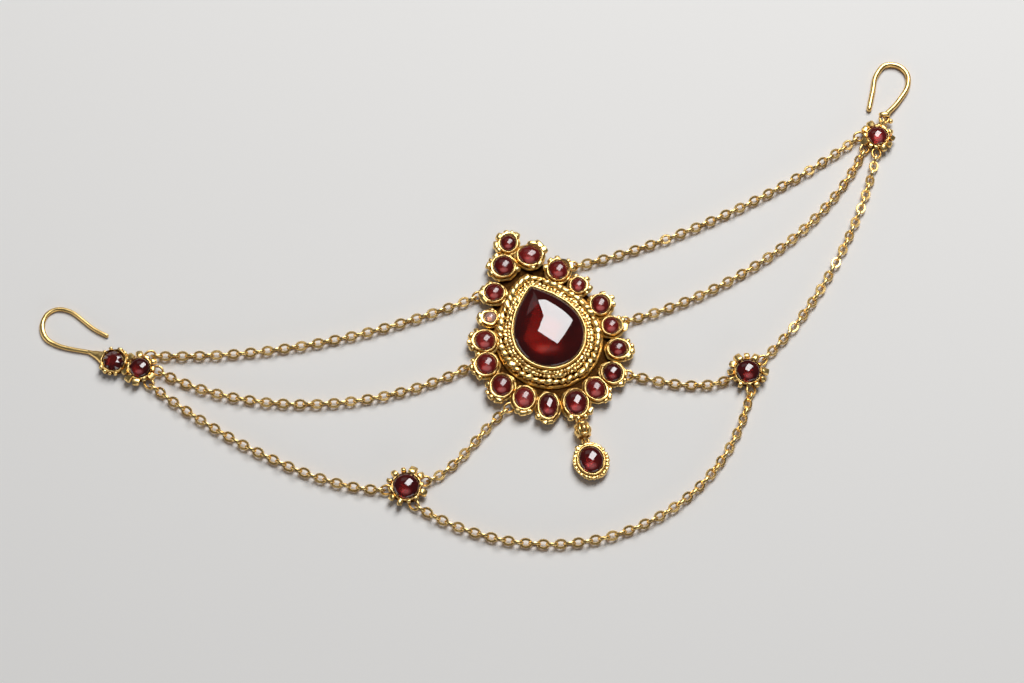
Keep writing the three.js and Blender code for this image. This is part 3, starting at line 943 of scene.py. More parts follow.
def colour_ramp(
    tree: NodeTree, fac: NodeSocket, stops: Sequence[tuple[float, Colour]]
) -> NodeSocket:
    """Adds a colour ramp.

    Args:
        tree: The tree that gets it.
        fac: The value that it reads.
        stops: Places and colours, in order.

    Returns:
        The socket with the colour.
    """
    ramp = tree.nodes.new("ShaderNodeValToRGB")
    elements = ramp.color_ramp.elements
    while len(elements) < len(stops):
        elements.new(0.5)
    for element, (place, colour) in zip(elements, stops):
        element.position = place
        element.color = (*colour, 1.0)
    tree.links.new(fac, ramp.inputs["Fac"])
    return ramp.outputs["Color"]


@dataclass(frozen=True)
class GoldFinish:
    """Hand-worked gold, bright where it is rubbed, with a painted highlight there, and brown in its
    hollows and low down with tarnish and painted shade.

    Args:
        name: The material's name.
        crest_wear_and_highlight: Colour of the metal where it is rubbed most, paler than clean gold:
            partly wear, partly a painted highlight.
        bright: Colour of the clean metal.
        warm: Colour half way into the hollows, where tarnish and painted shade begin.
        deep: Colour of full tarnish and painted shade.
        dent_scale: Scale of the hammer marks, per metre.
        scratch_scale: Scale of the fine marks, per metre.
        relief: How far the marks stand out, in metres.
        boldness: How strongly they show.
        clean_rough: Roughness of the clean metal.
        dull_rough: Roughness where tarnish and painted shade are full.
        mottled_rough: Roughness that the hammer marks add.
    """

    name: str
    crest_wear_and_highlight: Colour = (1.0, 0.7, 0.27)
    bright: Colour = (0.93, 0.57, 0.16)
    warm: Colour = (0.6, 0.29, 0.06)
    deep: Colour = (0.045, 0.017, 0.004)
    dent_scale: float = 700.0
    scratch_scale: float = 2600.0
    relief: float = 0.00012
    boldness: float = 0.6
    clean_rough: float = 0.24
    dull_rough: float = 0.55
    mottled_rough: float = 0.16

    STOPS = (0.0, 0.2, 0.5, 1.0)

    def material(self, groups: SurfaceGroups) -> Material:
        """Builds the material.

        Args:
            groups: The shared node groups.

        Returns:
            The material.
        """
        made = bpy.data.materials.new(self.name)
        made.use_nodes = True
        tree = made.node_tree
        shader = tree.nodes["Principled BSDF"]
        shader.inputs["Metallic"].default_value = 1.0
        marks = tree.nodes.new("ShaderNodeGroup")
        marks.node_tree = groups.handwork_and_shade
        marks.inputs["Dent Scale"].default_value = self.dent_scale
        marks.inputs["Scratch Scale"].default_value = self.scratch_scale
        marks.inputs["Patina_And_Shade Reach"].default_value = 1.0
        # From a painted highlight on the rubbed crests, through clean gold, to tarnish with painted shade
        stops = zip(self.STOPS, (self.crest_wear_and_highlight, self.bright, self.warm, self.deep))
        colour = colour_ramp(tree, marks.outputs["Tarnish_And_Shade"], list(stops))
        tree.links.new(colour, shader.inputs["Base Color"])
        dull = tree.nodes.new("ShaderNodeMapRange")
        dull.inputs["To Min"].default_value = self.clean_rough
        dull.inputs["To Max"].default_value = self.dull_rough
        tree.links.new(marks.outputs["Tarnish_And_Shade"], dull.inputs["Value"])
        mottle = marks.outputs["Mottle"]
        worn = math_node(tree, "MULTIPLY_ADD", mottle, self.mottled_rough, dull.outputs[0])
        tree.links.new(worn, shader.inputs["Roughness"])
        bump = tree.nodes.new("ShaderNodeBump")
        bump.inputs["Distance"].default_value = self.relief
        bump.inputs["Strength"].default_value = self.boldness
        tree.links.new(marks.outputs["Height"], bump.inputs["Height"])
        tree.links.new(bump.outputs[0], shader.inputs["Normal"])
        return made


@dataclass(frozen=True)
class GarnetFinish:
    """A polished garnet, dark, with a painted glow low in the stone where light would gather.

    Args:
        name: The material's name.
        dark: Colour where the stone has the least clouding and painted glow.
        body: Colour in its middle.
        lit: Colour of the painted glow, where the stone is painted as lit from within.
        clear: Share of light that passes through.
        rough: Roughness of its polish.
        shine: Strength of its reflections, where 0.5 is a clean polish.
        cloud_scale: Scale of the clouding, per metre.
        ior: Refractive index.
    """

    name: str
    dark: Colour
    body: Colour
    lit: Colour
    clear: float
    rough: float = 0.04
    shine: float = 0.5
    cloud_scale: float = 220.0
    ior: float = 1.76

    STOPS = (0.0, 0.45, 1.0)

    def material(self, groups: SurfaceGroups) -> Material:
        """Builds the material.

        Args:
            groups: The shared node groups.

        Returns:
            The material.
        """
        made = bpy.data.materials.new(self.name)
        made.use_nodes = True
        tree = made.node_tree
        shader = tree.nodes["Principled BSDF"]
        shader.inputs["Transmission Weight"].default_value = self.clear
        shader.inputs["IOR"].default_value = self.ior
        shader.inputs["Roughness"].default_value = self.rough
        shader.inputs["Specular IOR Level"].default_value = self.shine
        depth = tree.nodes.new("ShaderNodeGroup")
        depth.node_tree = groups.cloud
        depth.inputs["Cloud Scale"].default_value = self.cloud_scale
        stops = zip(self.STOPS, (self.dark, self.body, self.lit))
        colour = colour_ramp(tree, depth.outputs["Depth"], list(stops))
        tree.links.new(colour, shader.inputs["Base Color"])
        return made


@dataclass
class Workshop:
    """Everything that the pieces share: finishes and forms of repeated work."""

    groups: SurfaceGroups = field(default_factory=SurfaceGroups)
    beads: BeadForm = field(default_factory=BeadForm)
    granules: GranuleForm = field(default_factory=GranuleForm)
    links: ChainForm = field(default_factory=ChainForm)

    SHARP = math.radians(60)

    def __post_init__(self) -> None:
        """Mixes the finishes."""
        # The garnets' lit colours are a painted glow; the gold runs from a painted highlight to tarnish
        # with painted shade
        mixes = {
            Finish.GOLD: GoldFinish(Finish.GOLD.value),
            Finish.CENTRE_GARNET: GarnetFinish(
                Finish.CENTRE_GARNET.value,
                dark=(0.05, 0.001, 0.0008),
                body=(0.34, 0.014, 0.006),
                lit=(1.0, 0.24, 0.2),
                clear=0.75,
            ),
            Finish.GARNET: GarnetFinish(
                Finish.GARNET.value,
                dark=(0.05, 0.001, 0.001),
                body=(0.3, 0.015, 0.011),
                lit=(1.0, 0.26, 0.26),
                clear=0.62,
            ),
            Finish.WORN_GARNET: GarnetFinish(
                Finish.WORN_GARNET.value,
                dark=(0.06, 0.0015, 0.001),
                body=(0.34, 0.02, 0.014),
                lit=(1.0, 0.28, 0.26),
                clear=0.55,
                rough=0.13,
                shine=0.2,
            ),
            Finish.PALE_GARNET: GarnetFinish(
                Finish.PALE_GARNET.value,
                dark=(0.55, 0.26, 0.22),
                body=(0.75, 0.42, 0.36),
                lit=(0.95, 0.66, 0.58),
                clear=0.6,
                rough=0.13,
                shine=0.3,
            ),
        }
        self.materials = {finish: mix.material(self.groups) for finish, mix in mixes.items()}
        self.gold = self.materials[Finish.GOLD]

    def piece(
        self,
        name: str,
        shells: Sequence[Shell],
        finish: Finish,
        node: str,
        shading: Shading = Shading.ROUNDED,
    ) -> Object:
        """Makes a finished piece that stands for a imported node.

        Args:
            name: The piece's name.
            shells: Its surfaces.
            finish: Its finish.
            node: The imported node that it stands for.
            shading: How its faces meet.

        Returns:
            The piece.
        """
        whole = merged(shells)
        whole.points[:, 2] = np.maximum(whole.points[:, 2], 0.0)
        mesh = bpy.data.meshes.new(name)
        mesh.from_pydata((whole.points * MM).tolist(), [], whole.faces)
        shade = mesh.attributes.new(PATINA_AND_SHADE if finish is Finish.GOLD else GLOW, "FLOAT", "POINT")
        shade.data.foreach_set("value", np.clip(whole.shade, 0, 1).astype(np.float32))
        mesh.materials.append(self.materials[finish])
        if shading is Shading.ROUNDED:
            mesh.shade_smooth()
            mesh.set_sharp_from_angle(angle=self.SHARP)
        made = bpy.data.objects.new(name, mesh)
        bpy.context.scene.collection.objects.link(made)
        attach(made, "root")
        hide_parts(node)
        LOG.info("%s: %d faces, for %s", name, len(mesh.polygons), node)
        return made


@dataclass
class SubAssembly:
    """A part of the ornament that is made at one go.

    Args:
        shop: The shared forms and finishes.
        light: The level way from which most light comes.
    """

    shop: Workshop
    light: Vector


# Collets and stones

# Collet sections: distance outside the stone, height, and tarnish with painted shade, darkest at the foot
# and in the groove below the lip
RIM_PROFILE: Profile = (
    (0.40, 0.00, 1.0),
    (0.62, 0.50, 0.9),
    (0.82, 1.00, 0.7),
    (1.02, 1.45, 0.4),
    (1.12, 1.75, 0.0),
    (1.02, 1.98, 0.0),
    (0.84, 2.08, 0.2),
    (0.66, 2.12, 0.8),
    (0.54, 2.24, 0.8),
    (0.49, 2.45, 0.3),
    (0.49, 2.70, 0.0),
    (0.44, 2.90, 0.0),
    (0.31, 3.00, 0.0),
    (0.17, 2.95, 0.0),
    (0.09, 2.80, 0.4),
    (0.25, 2.45, 0.3),
    (0.25, 1.90, 0.3),
)
FLOWER_LIP, FLOWER_SEAT = 2.4, 1.5
FLOWER_PROFILE: Profile = (
    (0.20, 0.00, 1.0),
    (0.50, 0.70, 0.9),
    (0.68, 1.30, 0.8),
    (0.58, 1.70, 1.0),
    (0.44, 1.92, 0.7),
    (0.42, 2.15, 0.2),
    (0.38, 2.36, 0.0),
    (0.29, 2.46, 0.0),
    (0.19, 2.43, 0.0),
    (0.12, 2.30, 0.4),
    (0.25, 2.00, 0.3),
    (0.25, 1.50, 0.3),
)
DROP_PROFILE: Profile = (
    (0.50, 0.00, 1.0),
    (1.00, 0.60, 0.8),
    (1.36, 1.15, 0.4),
    (1.44, 1.55, 0.1),
    (1.32, 1.90, 0.0),
    (1.06, 2.08, 0.0),
    (0.80, 2.05, 0.4),
    (0.63, 2.05, 1.0),
    (0.52, 2.20, 0.7),
    (0.50, 2.45, 0.0),
    (0.44, 2.68, 0.0),
    (0.31, 2.77, 0.0),
    (0.17, 2.72, 0.0),
    (0.09, 2.58, 0.4),
    (0.25, 2.25, 0.3),
    (0.25, 1.70, 0.3),
)


@dataclass(frozen=True)
class Flare:
    """A place where a collet's rim swells into a lobe.

    Args:
        angle: Where it is, in degrees on the table.
        spread: Half the angle that it takes up, in degrees.
        reach: How far it stands out.
        rise: How far it stands up.
    """

    angle: float
    spread: float
    reach: float
    rise: float


@dataclass(frozen=True)
class StoneSeat:
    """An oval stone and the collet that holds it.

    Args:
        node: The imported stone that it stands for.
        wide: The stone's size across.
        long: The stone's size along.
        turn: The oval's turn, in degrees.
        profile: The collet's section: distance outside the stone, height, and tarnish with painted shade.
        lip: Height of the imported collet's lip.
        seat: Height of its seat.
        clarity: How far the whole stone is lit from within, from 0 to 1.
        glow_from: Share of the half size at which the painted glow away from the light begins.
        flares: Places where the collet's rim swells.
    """

    node: str
    wide: float
    long: float
    turn: float
    profile: Profile
    lip: float
    seat: float
    clarity: float = 0.12
    glow_from: float = 0.3
    flares: Sequence[Flare] = ()

    LIP_COVER = 0.2
    DOME_RISE = 0.52
    FLARE_FROM = 0.15
    FLARE_SPAN = 0.3
    HAMMERED = 0.3
    LEAST_HAMMERED = 0.2
    HAMMERED_ROW = 4
    DENT_WAVES = (1.6, 0.7)
    FOOT_DRAWN_IN = 0.02
    SIDES = 64
    DOME_ROWS = 12

    @property
    def middle(self) -> Vector:
        """The stone's middle on the table."""
        point = frame_middle(self.node)
        return Vector((point.x, point.y, 0.0))

    @property
    def place(self) -> Matrix:
        """The move from the origin to the stone's place."""
        return Matrix.Translation(self.middle) @ Matrix.Rotation(math.radians(self.turn), 4, "Z")

    def rim(self, out: float, z: float) -> np.ndarray:
        """A ring round the stone.

        Args:
            out: Its distance outside the stone.
            z: Its height.

        Returns:
            Its points.
        """
        ring = oval(self.wide / 2 + out, self.long / 2 + out, z, self.SIDES)
        return Shell(ring, [], np.zeros(self.SIDES)).placed(self.place).points

    def collet(self) -> Shell:
        """The cup of gold round the stone, with a thin rolled lip."""
        rings = [self.hammered(self.flared(self.rim(out, z), out), out) for out, z, _ in self.profile]
        return loft(rings, [patina_and_shade for _, _, patina_and_shade in self.profile])

    def hammered(self, ring: np.ndarray, out: float) -> np.ndarray:
        """Dents a ring of the collet, the more the further out it lies.

        Args:
            ring: The ring's points.
            out: Its distance outside the stone.

        Returns:
            The dented ring.
        """
        full = self.profile[self.HAMMERED_ROW][0]
        reach = self.HAMMERED * np.clip(out / full, self.LEAST_HAMMERED, 1.0)
        broad, fine = self.DENT_WAVES
        dented = Shell(ring, [], np.zeros(len(ring))).wobbled(reach, broad)
        return dented.wobbled(reach / 2, fine).points

    def flared(self, ring: np.ndarray, out: float) -> np.ndarray:
        """Swells a ring of the collet where it has a lobe.

        Args:
            ring: The ring's points.
            out: Its distance outside the stone.

        Returns:
            The ring with its lobes.
        """
        flat = ring[:, :2] - np.array(self.middle)[:2]
        ways = np.degrees(np.arctan2(flat[:, 1], flat[:, 0]))
        climb = np.clip(ring[0, 2] / self.lip, 0, 1)
        share = np.clip((out - self.FLARE_FROM) / self.FLARE_SPAN, 0, 1) * climb
        outward = flat / np.linalg.norm(flat, axis=1)[:, None]
        swollen = ring.copy()
        for flare in self.flares:
            turn = (ways - flare.angle + 180) % 360 - 180
            bump = np.clip(1 - (turn / flare.spread) ** 2, 0, 1) * share
            swollen[:, :2] += outward * (flare.reach * bump)[:, None]
            swollen[:, 2] += flare.rise * bump
        return swollen

    def cabochon(self, light: Vector) -> Shell:
        """The domed stone.

        Args:
            light: The level way from which most light comes.

        Returns:
            The stone, with painted glow low on the side away from the light.
        """
        girdle = self.lip - self.LIP_COVER
        rise = self.DOME_RISE * min(self.wide, self.long) / 2
        foot = self.rim(-self.FOOT_DRAWN_IN, self.seat + STONE_GAP)
        rings = [foot, self.rim(0.0, girdle)]
        middle = np.array(self.middle)
        for row in range(1, self.DOME_ROWS):
            climb = row / self.DOME_ROWS * math.pi / 2
            ring = (self.rim(0.0, 0.0) - middle) * math.cos(climb) + middle
            ring[:, 2] = girdle + rise * math.sin(climb)
            rings.append(ring)
        stone = loft(rings, [0.0] * len(rings))
        stone.points[-1, 2] = girdle + rise
        reach = max(self.wide, self.long) / 2
        # Painted glow in the stone
        stone.shade = self.clarity + glow_in(stone.points, self.middle, reach, light, self.glow_from)
        return stone


# The painted glow in a stone: a crescent of painted light low down, away from the light, fading at the
# rim, and a faint painted heart
CRESCENT_FADE, CRESCENT_WIDE, CRESCENT_GLOW = 0.2, 0.5, 0.8
EDGE_FROM, EDGE_FADE = 0.9, 0.2
HEART_AWAY, HEART_WIDE, HEART_GLOW = 0.25, 0.5, 0.14


def glow_in(
    points: np.ndarray, middle: Vector, reach: float, light: Vector, start: float
) -> np.ndarray:
    """How far each point of a stone is painted as lit from within: a painted crescent low down and a faint
    painted heart.

    Args:
        points: The stone's points.
        middle: The stone's middle.
        reach: The stone's half size.
        light: The level way from which most light comes.
        start: Share of the half size at which the glow away from the light begins.

    Returns:
        A value from 0 to 1 for each point.
    """
    flat = (points[:, :2] - np.array(middle)[:2]) / reach
    away = flat @ -np.array(light)[:2]
    side = np.abs(flat @ np.array((-light.y, light.x)))
    low_down = np.clip((away - start) / CRESCENT_FADE, 0, 1)
    crescent = low_down * np.clip(1 - (side / CRESCENT_WIDE) ** 2, 0, 1)
    edge = np.clip((EDGE_FROM - np.linalg.norm(flat, axis=1)) / EDGE_FADE, 0, 1)
    heart = np.clip(1 - ((away - HEART_AWAY) ** 2 + side**2) / HEART_WIDE, 0, 1)
    return CRESCENT_GLOW * crescent * edge + HEART_GLOW * heart


@dataclass(frozen=True)
class CutStone:
    """A round stone with a table, stars, kites and girdle facets.

    Args:
        node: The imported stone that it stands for.
        radius: Half its width.
        table: The table's share of that.
        crown: Its height above the girdle.
        girdle: Height of the girdle.
        seat: Height of its foot.
        turn: Turn of its facets, in degrees.
    """

    node: str
    radius: float
    table: float
    crown: float
    girdle: float
    seat: float
    turn: float

    FACETS = 8
    KITE_SHARE = 0.72
    KITE_RISE = 0.82
    # Painted glow on the table facet
    TABLE_GLOW = 0.35

    def shell(self) -> Shell:
        """Cuts the stone.

        Returns:
            The closed stone, in place.
        """
        count = self.FACETS
        top = self.girdle + self.crown
        half = math.pi / count
        spin = np.array(Matrix.Rotation(half, 3, "Z"))
        foot = oval(self.radius, self.radius, self.seat, 2 * count)
        waist = oval(self.radius, self.radius, self.girdle, 2 * count)
        kite_out, table_out = self.radius * self.KITE_SHARE, self.radius * self.table
        kites = oval(kite_out, kite_out, 0.0, count) @ spin.T
        kites[:, 2] = self.girdle + self.crown * self.KITE_RISE
        table = oval(table_out, table_out, top, count)
        points = np.concatenate([foot, waist, kites, table])
        rows = (0, 2 * count, 4 * count, 5 * count)
        underside, table_face = reversed(range(2 * count)), range(rows[3], rows[3] + count)
        faces: list[tuple[int, ...]] = [tuple(underside), tuple(table_face)]
        for side in range(2 * count):
            after = (side + 1) % (2 * count)
            faces.append((side, after, rows[1] + after, rows[1] + side))
        for facet in range(count):
            after, before = (facet + 1) % count, (facet - 1) % count
            waist_here = rows[1] + 2 * facet
            waist_half = waist_here + 1
            waist_after = rows[1] + 2 * after
            kite, kite_before = rows[2] + facet, rows[2] + before
            faces.append((rows[3] + facet, kite, rows[3] + after))
            faces.append((rows[3] + facet, kite_before, waist_here, kite))
            faces.append((kite, waist_here, waist_half))
            faces.append((kite, waist_half, waist_after))
        shade = np.concatenate([np.zeros(5 * count), np.full(count, self.TABLE_GLOW)])
        place = frame_middle(self.node)
        turn = Matrix.Rotation(math.radians(self.turn), 4, "Z")
        spot = Matrix.Translation((place.x, place.y, 0.0))
        return Shell(points, faces, shade).placed(spot @ turn)


# Chains

LUG_LENGTH, LUG_WIDTH, LUG_WIRE = 3.4, 2.8, 0.6
LINK_LEAN = math.radians(45)
CHAIN_Z = 1.22


@dataclass(frozen=True)
class Chain:
    """A chain of oval links that lies on the table in one bend.

    Args:
        node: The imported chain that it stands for.
        start: Middle of the first lug.
        lean: The point that it sets out for.
        settle: The point that it arrives from.
        end: Middle of the last lug.
        from_stone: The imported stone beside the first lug.
        to_stone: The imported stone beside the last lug.
        roll: Lean of the flatter links, in degrees; the links between stand across them.
    """

    node: str
    start: tuple[float, float]
    lean: tuple[float, float]
    settle: tuple[float, float]
    end: tuple[float, float]
    from_stone: str
    to_stone: str
    roll: float = 22.0

    LINK_LENGTH = 3.3
    LINK_WIDTH = 2.6
    LINK_WIRE = 0.68
    LINK_PITCH = 2.1
    LUG_PITCH = 1.75
    STEPS = 160
    SLACK = math.radians(9)

    def route(self) -> np.ndarray:
        """The chain's middle line."""
        marks = (self.start, self.lean, self.settle, self.end)
        return drawn_curve([(*mark, CHAIN_Z) for mark in marks], self.STEPS)

    def link_count(self) -> int:
        """How many links lie between the two lugs."""
        run = np.linalg.norm(np.diff(self.route(), axis=0), axis=1).sum()
        return round((run - 2 * self.LUG_PITCH) / self.LINK_PITCH) + 1

    def lug(self, stone: str) -> Shell:
        """The oval lug that holds the chain beside a stone.

        Args:
            stone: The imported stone, at the start or at the end.

        Returns:
            The lug.
        """
        first = stone == self.from_stone
        spot = Vector((*(self.start if first else self.end), CHAIN_Z))
        holder = frame_middle(stone)
        out = Vector((spot.x - holder.x, spot.y - holder.y, 0.0)).normalized()
        near, far = (self.start, self.lean) if first else (self.settle, self.end)
        way = Vector((far[0] - near[0], far[1] - near[1], 0.0)).normalized()
        direction = ((out if first else -out) + way).normalized()
        even = first or (self.link_count() + 1) % 2 == 0
        roll = math.radians(self.roll if even else self.roll - 90)
        ring = wire_oval(LUG_LENGTH, LUG_WIDTH, LUG_WIRE)
        return ring.placed(along_table(spot, direction, roll))

    def build(self, shop: Workshop, seed: int) -> None:
        """Makes the links.

        Args:
            shop: The shared forms and finishes.
            seed: The seed of the links' unevenness.
        """
        links = shop.links.grown(
            line_mesh(f"{self.node}_route", [self.route()], closed=False),
            Link_Length=self.LINK_LENGTH,
            Link_Width=self.LINK_WIDTH,
            Wire=self.LINK_WIRE,
            Links=self.link_count(),
            End_Gap=self.LUG_PITCH,
            Lean=LINK_LEAN,
            Roll=math.radians(self.roll) - LINK_LEAN,
            Slack=self.SLACK,
            Seed=seed,
            Finish=shop.gold,
        )
        shop.piece(f"{self.node}_links", [links], Finish.GOLD, self.node)


CHAINS = (
    Chain(
        "chain_left_upper", (-94.8, 27.7), (-68.2, 17.2), (-40.8, 13.7), (-12.4, 15.9),
        "left_flower_stone", "rim_stone_03",
    ),
    Chain(
        "chain_left_middle", (-94.2, 23.1), (-77.4, 3.6), (-46.6, -6.1), (-20.8, -1.7),
        "left_flower_stone", "rim_stone_06",
    ),
    Chain(
        "chain_left_lower", (-97.2, 20.5), (-87.8, 4.6), (-67.6, -20.5), (-50.7, -26.1),
        "left_flower_stone", "left_spreader_stone",
    ),
    Chain(
        "chain_left_inner", (-41.1, -27.1), (-33.0, -27.9), (-22.9, -17.7), (-15.2, -15.5),
        "left_spreader_stone", "rim_stone_08",
    ),
    Chain(
        "chain_front", (-45.6, -32.0), (-22.0, -63.5), (22.4, -64.1), (42.8, -31.0),
        "left_spreader_stone", "right_spreader_stone",
    ),
    Chain(
        "chain_right_inner", (15.4, -17.0), (21.2, -20.0), (29.4, -27.3), (39.0, -26.4),
        "rim_stone_12", "right_spreader_stone",
    ),
    Chain(
        "chain_right_lower", (97.7, 20.3), (87.2, 3.1), (65.8, -16.9), (48.3, -24.4),
        "right_flower_stone", "right_spreader_stone", -12.0,
    ),
    Chain(
        "chain_right_middle", (19.7, -2.9), (45.4, -4.7), (76.4, 2.8), (95.4, 22.6),
        "rim_stone_14", "right_flower_stone",
    ),
    Chain(
        "chain_right_upper", (12.8, 15.9), (37.0, 12.9), (72.4, 17.7), (95.4, 26.4),
        "rim_stone_17", "right_flower_stone",
    ),
)


def lugs_beside(stones: Sequence[str]) -> list[Shell]:
    """The lugs of all the chains that end beside some stones.

    Args:
        stones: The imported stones.

    Returns:
        The lugs.
    """
    return [
        chain.lug(stone)
        for chain in CHAINS
        for stone in (chain.from_stone, chain.to_stone)
        if stone in stones
    ]


# The pendant


@dataclass(frozen=True)
class Pear:
    """The outline of the centre stone: a broad pear with an obtuse tip.

    Args:
        middle_x: Where its axis lies.
        half_width: Half its width.
        tip: Distance from the origin up to its tip.
        tail: Distance from the origin down to its round end.
        widest: Height at which it is widest.
        tip_slope: How far its sides slope at the tip.
        tip_lead: How far the tip's slope carries on.
        shoulder_share: How far up the sides stay full.
        sides: How many points it has.
    """

    middle_x: float = 0.5
    half_width: float = 8.75
    tip: float = 12.7
    tail: float = 10.1
    widest: float = -0.6
    tip_slope: float = math.radians(37)
    tip_lead: float = 5.5
    shoulder_share: float = 0.39
    sides: int = 168

    QUARTER_ARC = 0.552
    SAMPLES = 400
    CORNER_SHARE = 0.3

    def outline(self) -> np.ndarray:
        """Draws the pear.

        Returns:
            Evenly spaced points, anticlockwise from its tip.
        """
        lead_x = self.tip_lead * math.cos(self.tip_slope)
        lead_y = self.tip - self.tip_lead * math.sin(self.tip_slope)
        shoulder = self.widest + (self.tip - self.widest) * self.shoulder_share
        low = self.widest - self.QUARTER_ARC * (self.tail + self.widest)
        near = self.QUARTER_ARC * self.half_width
        wide = self.half_width
        half = [
            ((0.0, self.tip), (-lead_x, lead_y), (-wide, shoulder), (-wide, self.widest)),
            ((-wide, self.widest), (-wide, low), (-near, -self.tail), (0.0, -self.tail)),
        ]
        left = np.concatenate([drawn_curve(marks, self.SAMPLES) for marks in half])
        right = left[::-1] * np.array((-1.0, 1.0))
        whole = np.concatenate([left, right])
        strides = np.linalg.norm(np.diff(whole, axis=0), axis=1)
        steps = np.concatenate([[0.0], np.cumsum(strides)])
        at = np.arange(self.sides) * steps[-1] / self.sides
        return np.stack([np.interp(at, steps, whole[:, axis]) for axis in (0, 1)], 1)

    def around(self, out: float, z: float) -> np.ndarray:
        """The pear's outline moved outwards, with its corner rounded on the way.

        Args:
            out: How far it moves.
            z: Its height.

        Returns:
            The ring's points.
        """
        line = self.outline()
        along = np.roll(line, -1, 0) - np.roll(line, 1, 0)
        normal = np.stack([along[:, 1], -along[:, 0]], 1)
        step = np.linalg.norm(line[1] - line[0])
        for _ in range(int(2 * (self.CORNER_SHARE * out / step) ** 2)):
            normal = (np.roll(normal, 1, 0) + 2 * normal + np.roll(normal, -1, 0)) / 4
        normal /= np.linalg.norm(normal, axis=1)[:, None]
        ring = line + out * normal
        return np.column_stack([ring[:, 0] + self.middle_x, ring[:, 1], np.full(self.sides, z)])

    def drawn_in(self, share: float, z: float) -> np.ndarray:
        """The pear's outline drawn in towards its axis.

        Args:
            share: What is left of it.
            z: Its height.

        Returns:
            The ring's points.
        """
        line = self.outline() * share
        return np.column_stack([line[:, 0] + self.middle_x, line[:, 1], np.full(self.sides, z)])


class RimStone(NamedTuple):
    """A rim stone: its size across and along, turn in degrees, clarity and finish."""

    wide: float
    long: float
    turn: float
    clarity: float
    finish: Finish = Finish.WORN_GARNET


# From the tip round the left side
RIM_STONES = (
    RimStone(4.0, 4.3, -20, 0.10),
    RimStone(5.2, 5.4, -20, 0.08),
    RimStone(4.6, 4.6, 0, 0.24),
    RimStone(2.8, 2.8, 0, 0.60, Finish.PALE_GARNET),
    RimStone(5.0, 5.2, -10, 0.30),
    RimStone(5.0, 5.5, -15, 0.28),
    RimStone(5.0, 5.5, -20, 0.18),
    RimStone(4.8, 5.5, -20, 0.32),
    RimStone(4.5, 6.3, -18, 0.14, Finish.GARNET),
    RimStone(5.5, 6.6, -12, 0.18, Finish.GARNET),
    RimStone(4.6, 5.6, 5, 0.24),
    RimStone(4.8, 5.0, 0, 0.04, Finish.GARNET),
    RimStone(4.5, 4.5, 0, 0.14),
    RimStone(4.0, 4.4, -15, 0.32),
    RimStone(4.4, 5.0, -20, 0.12),
    RimStone(3.5, 3.8, -20, 0.34),
    RimStone(4.8, 5.2, -20, 0.22),
    RimStone(5.7, 5.0, -25, 0.26),
)
# Swellings of the rim collets, by stone
RIM_FLARES = {
    1: (Flare(70, 70, 0.45, 0.2), Flare(170, 40, 0.3, 0.0)),
    2: (Flare(150, 50, 0.3, 0.1), Flare(215, 35, 0.3, 0.0)),
    3: (Flare(165, 60, 0.25, 0.1),),
    4: (Flare(160, 75, 0.6, 0.3), Flare(260, 40, 0.3, 0.1)),
    5: (Flare(160, 60, 0.35, 0.1),),
    6: (Flare(190, 70, 0.35, 0.1),),
    7: (Flare(215, 70, 0.35, 0.0),),
    8: (Flare(240, 50, 0.2, 0.0),),
    9: (Flare(235, 45, 0.25, 0.0),),
    10: (Flare(290, 45, 0.2, 0.0),),
    11: (Flare(320, 60, 0.3, 0.1),),
    12: (Flare(300, 70, 0.2, 0.0),),
    13: (Flare(330, 70, 0.35, 0.2),),
    14: (Flare(345, 55, 0.5, 0.3),),
    15: (Flare(10, 60, 0.3, 0.2),),
    16: (Flare(330, 60, 0.3, 0.1), Flare(60, 50, 0.2, 0.0)),
    17: (Flare(15, 45, 0.4, 0.5), Flare(95, 40, 0.2, 0.1)),
    18: (Flare(30, 60, 0.4, 0.2), Flare(250, 40, 0.3, 0.0)),
}
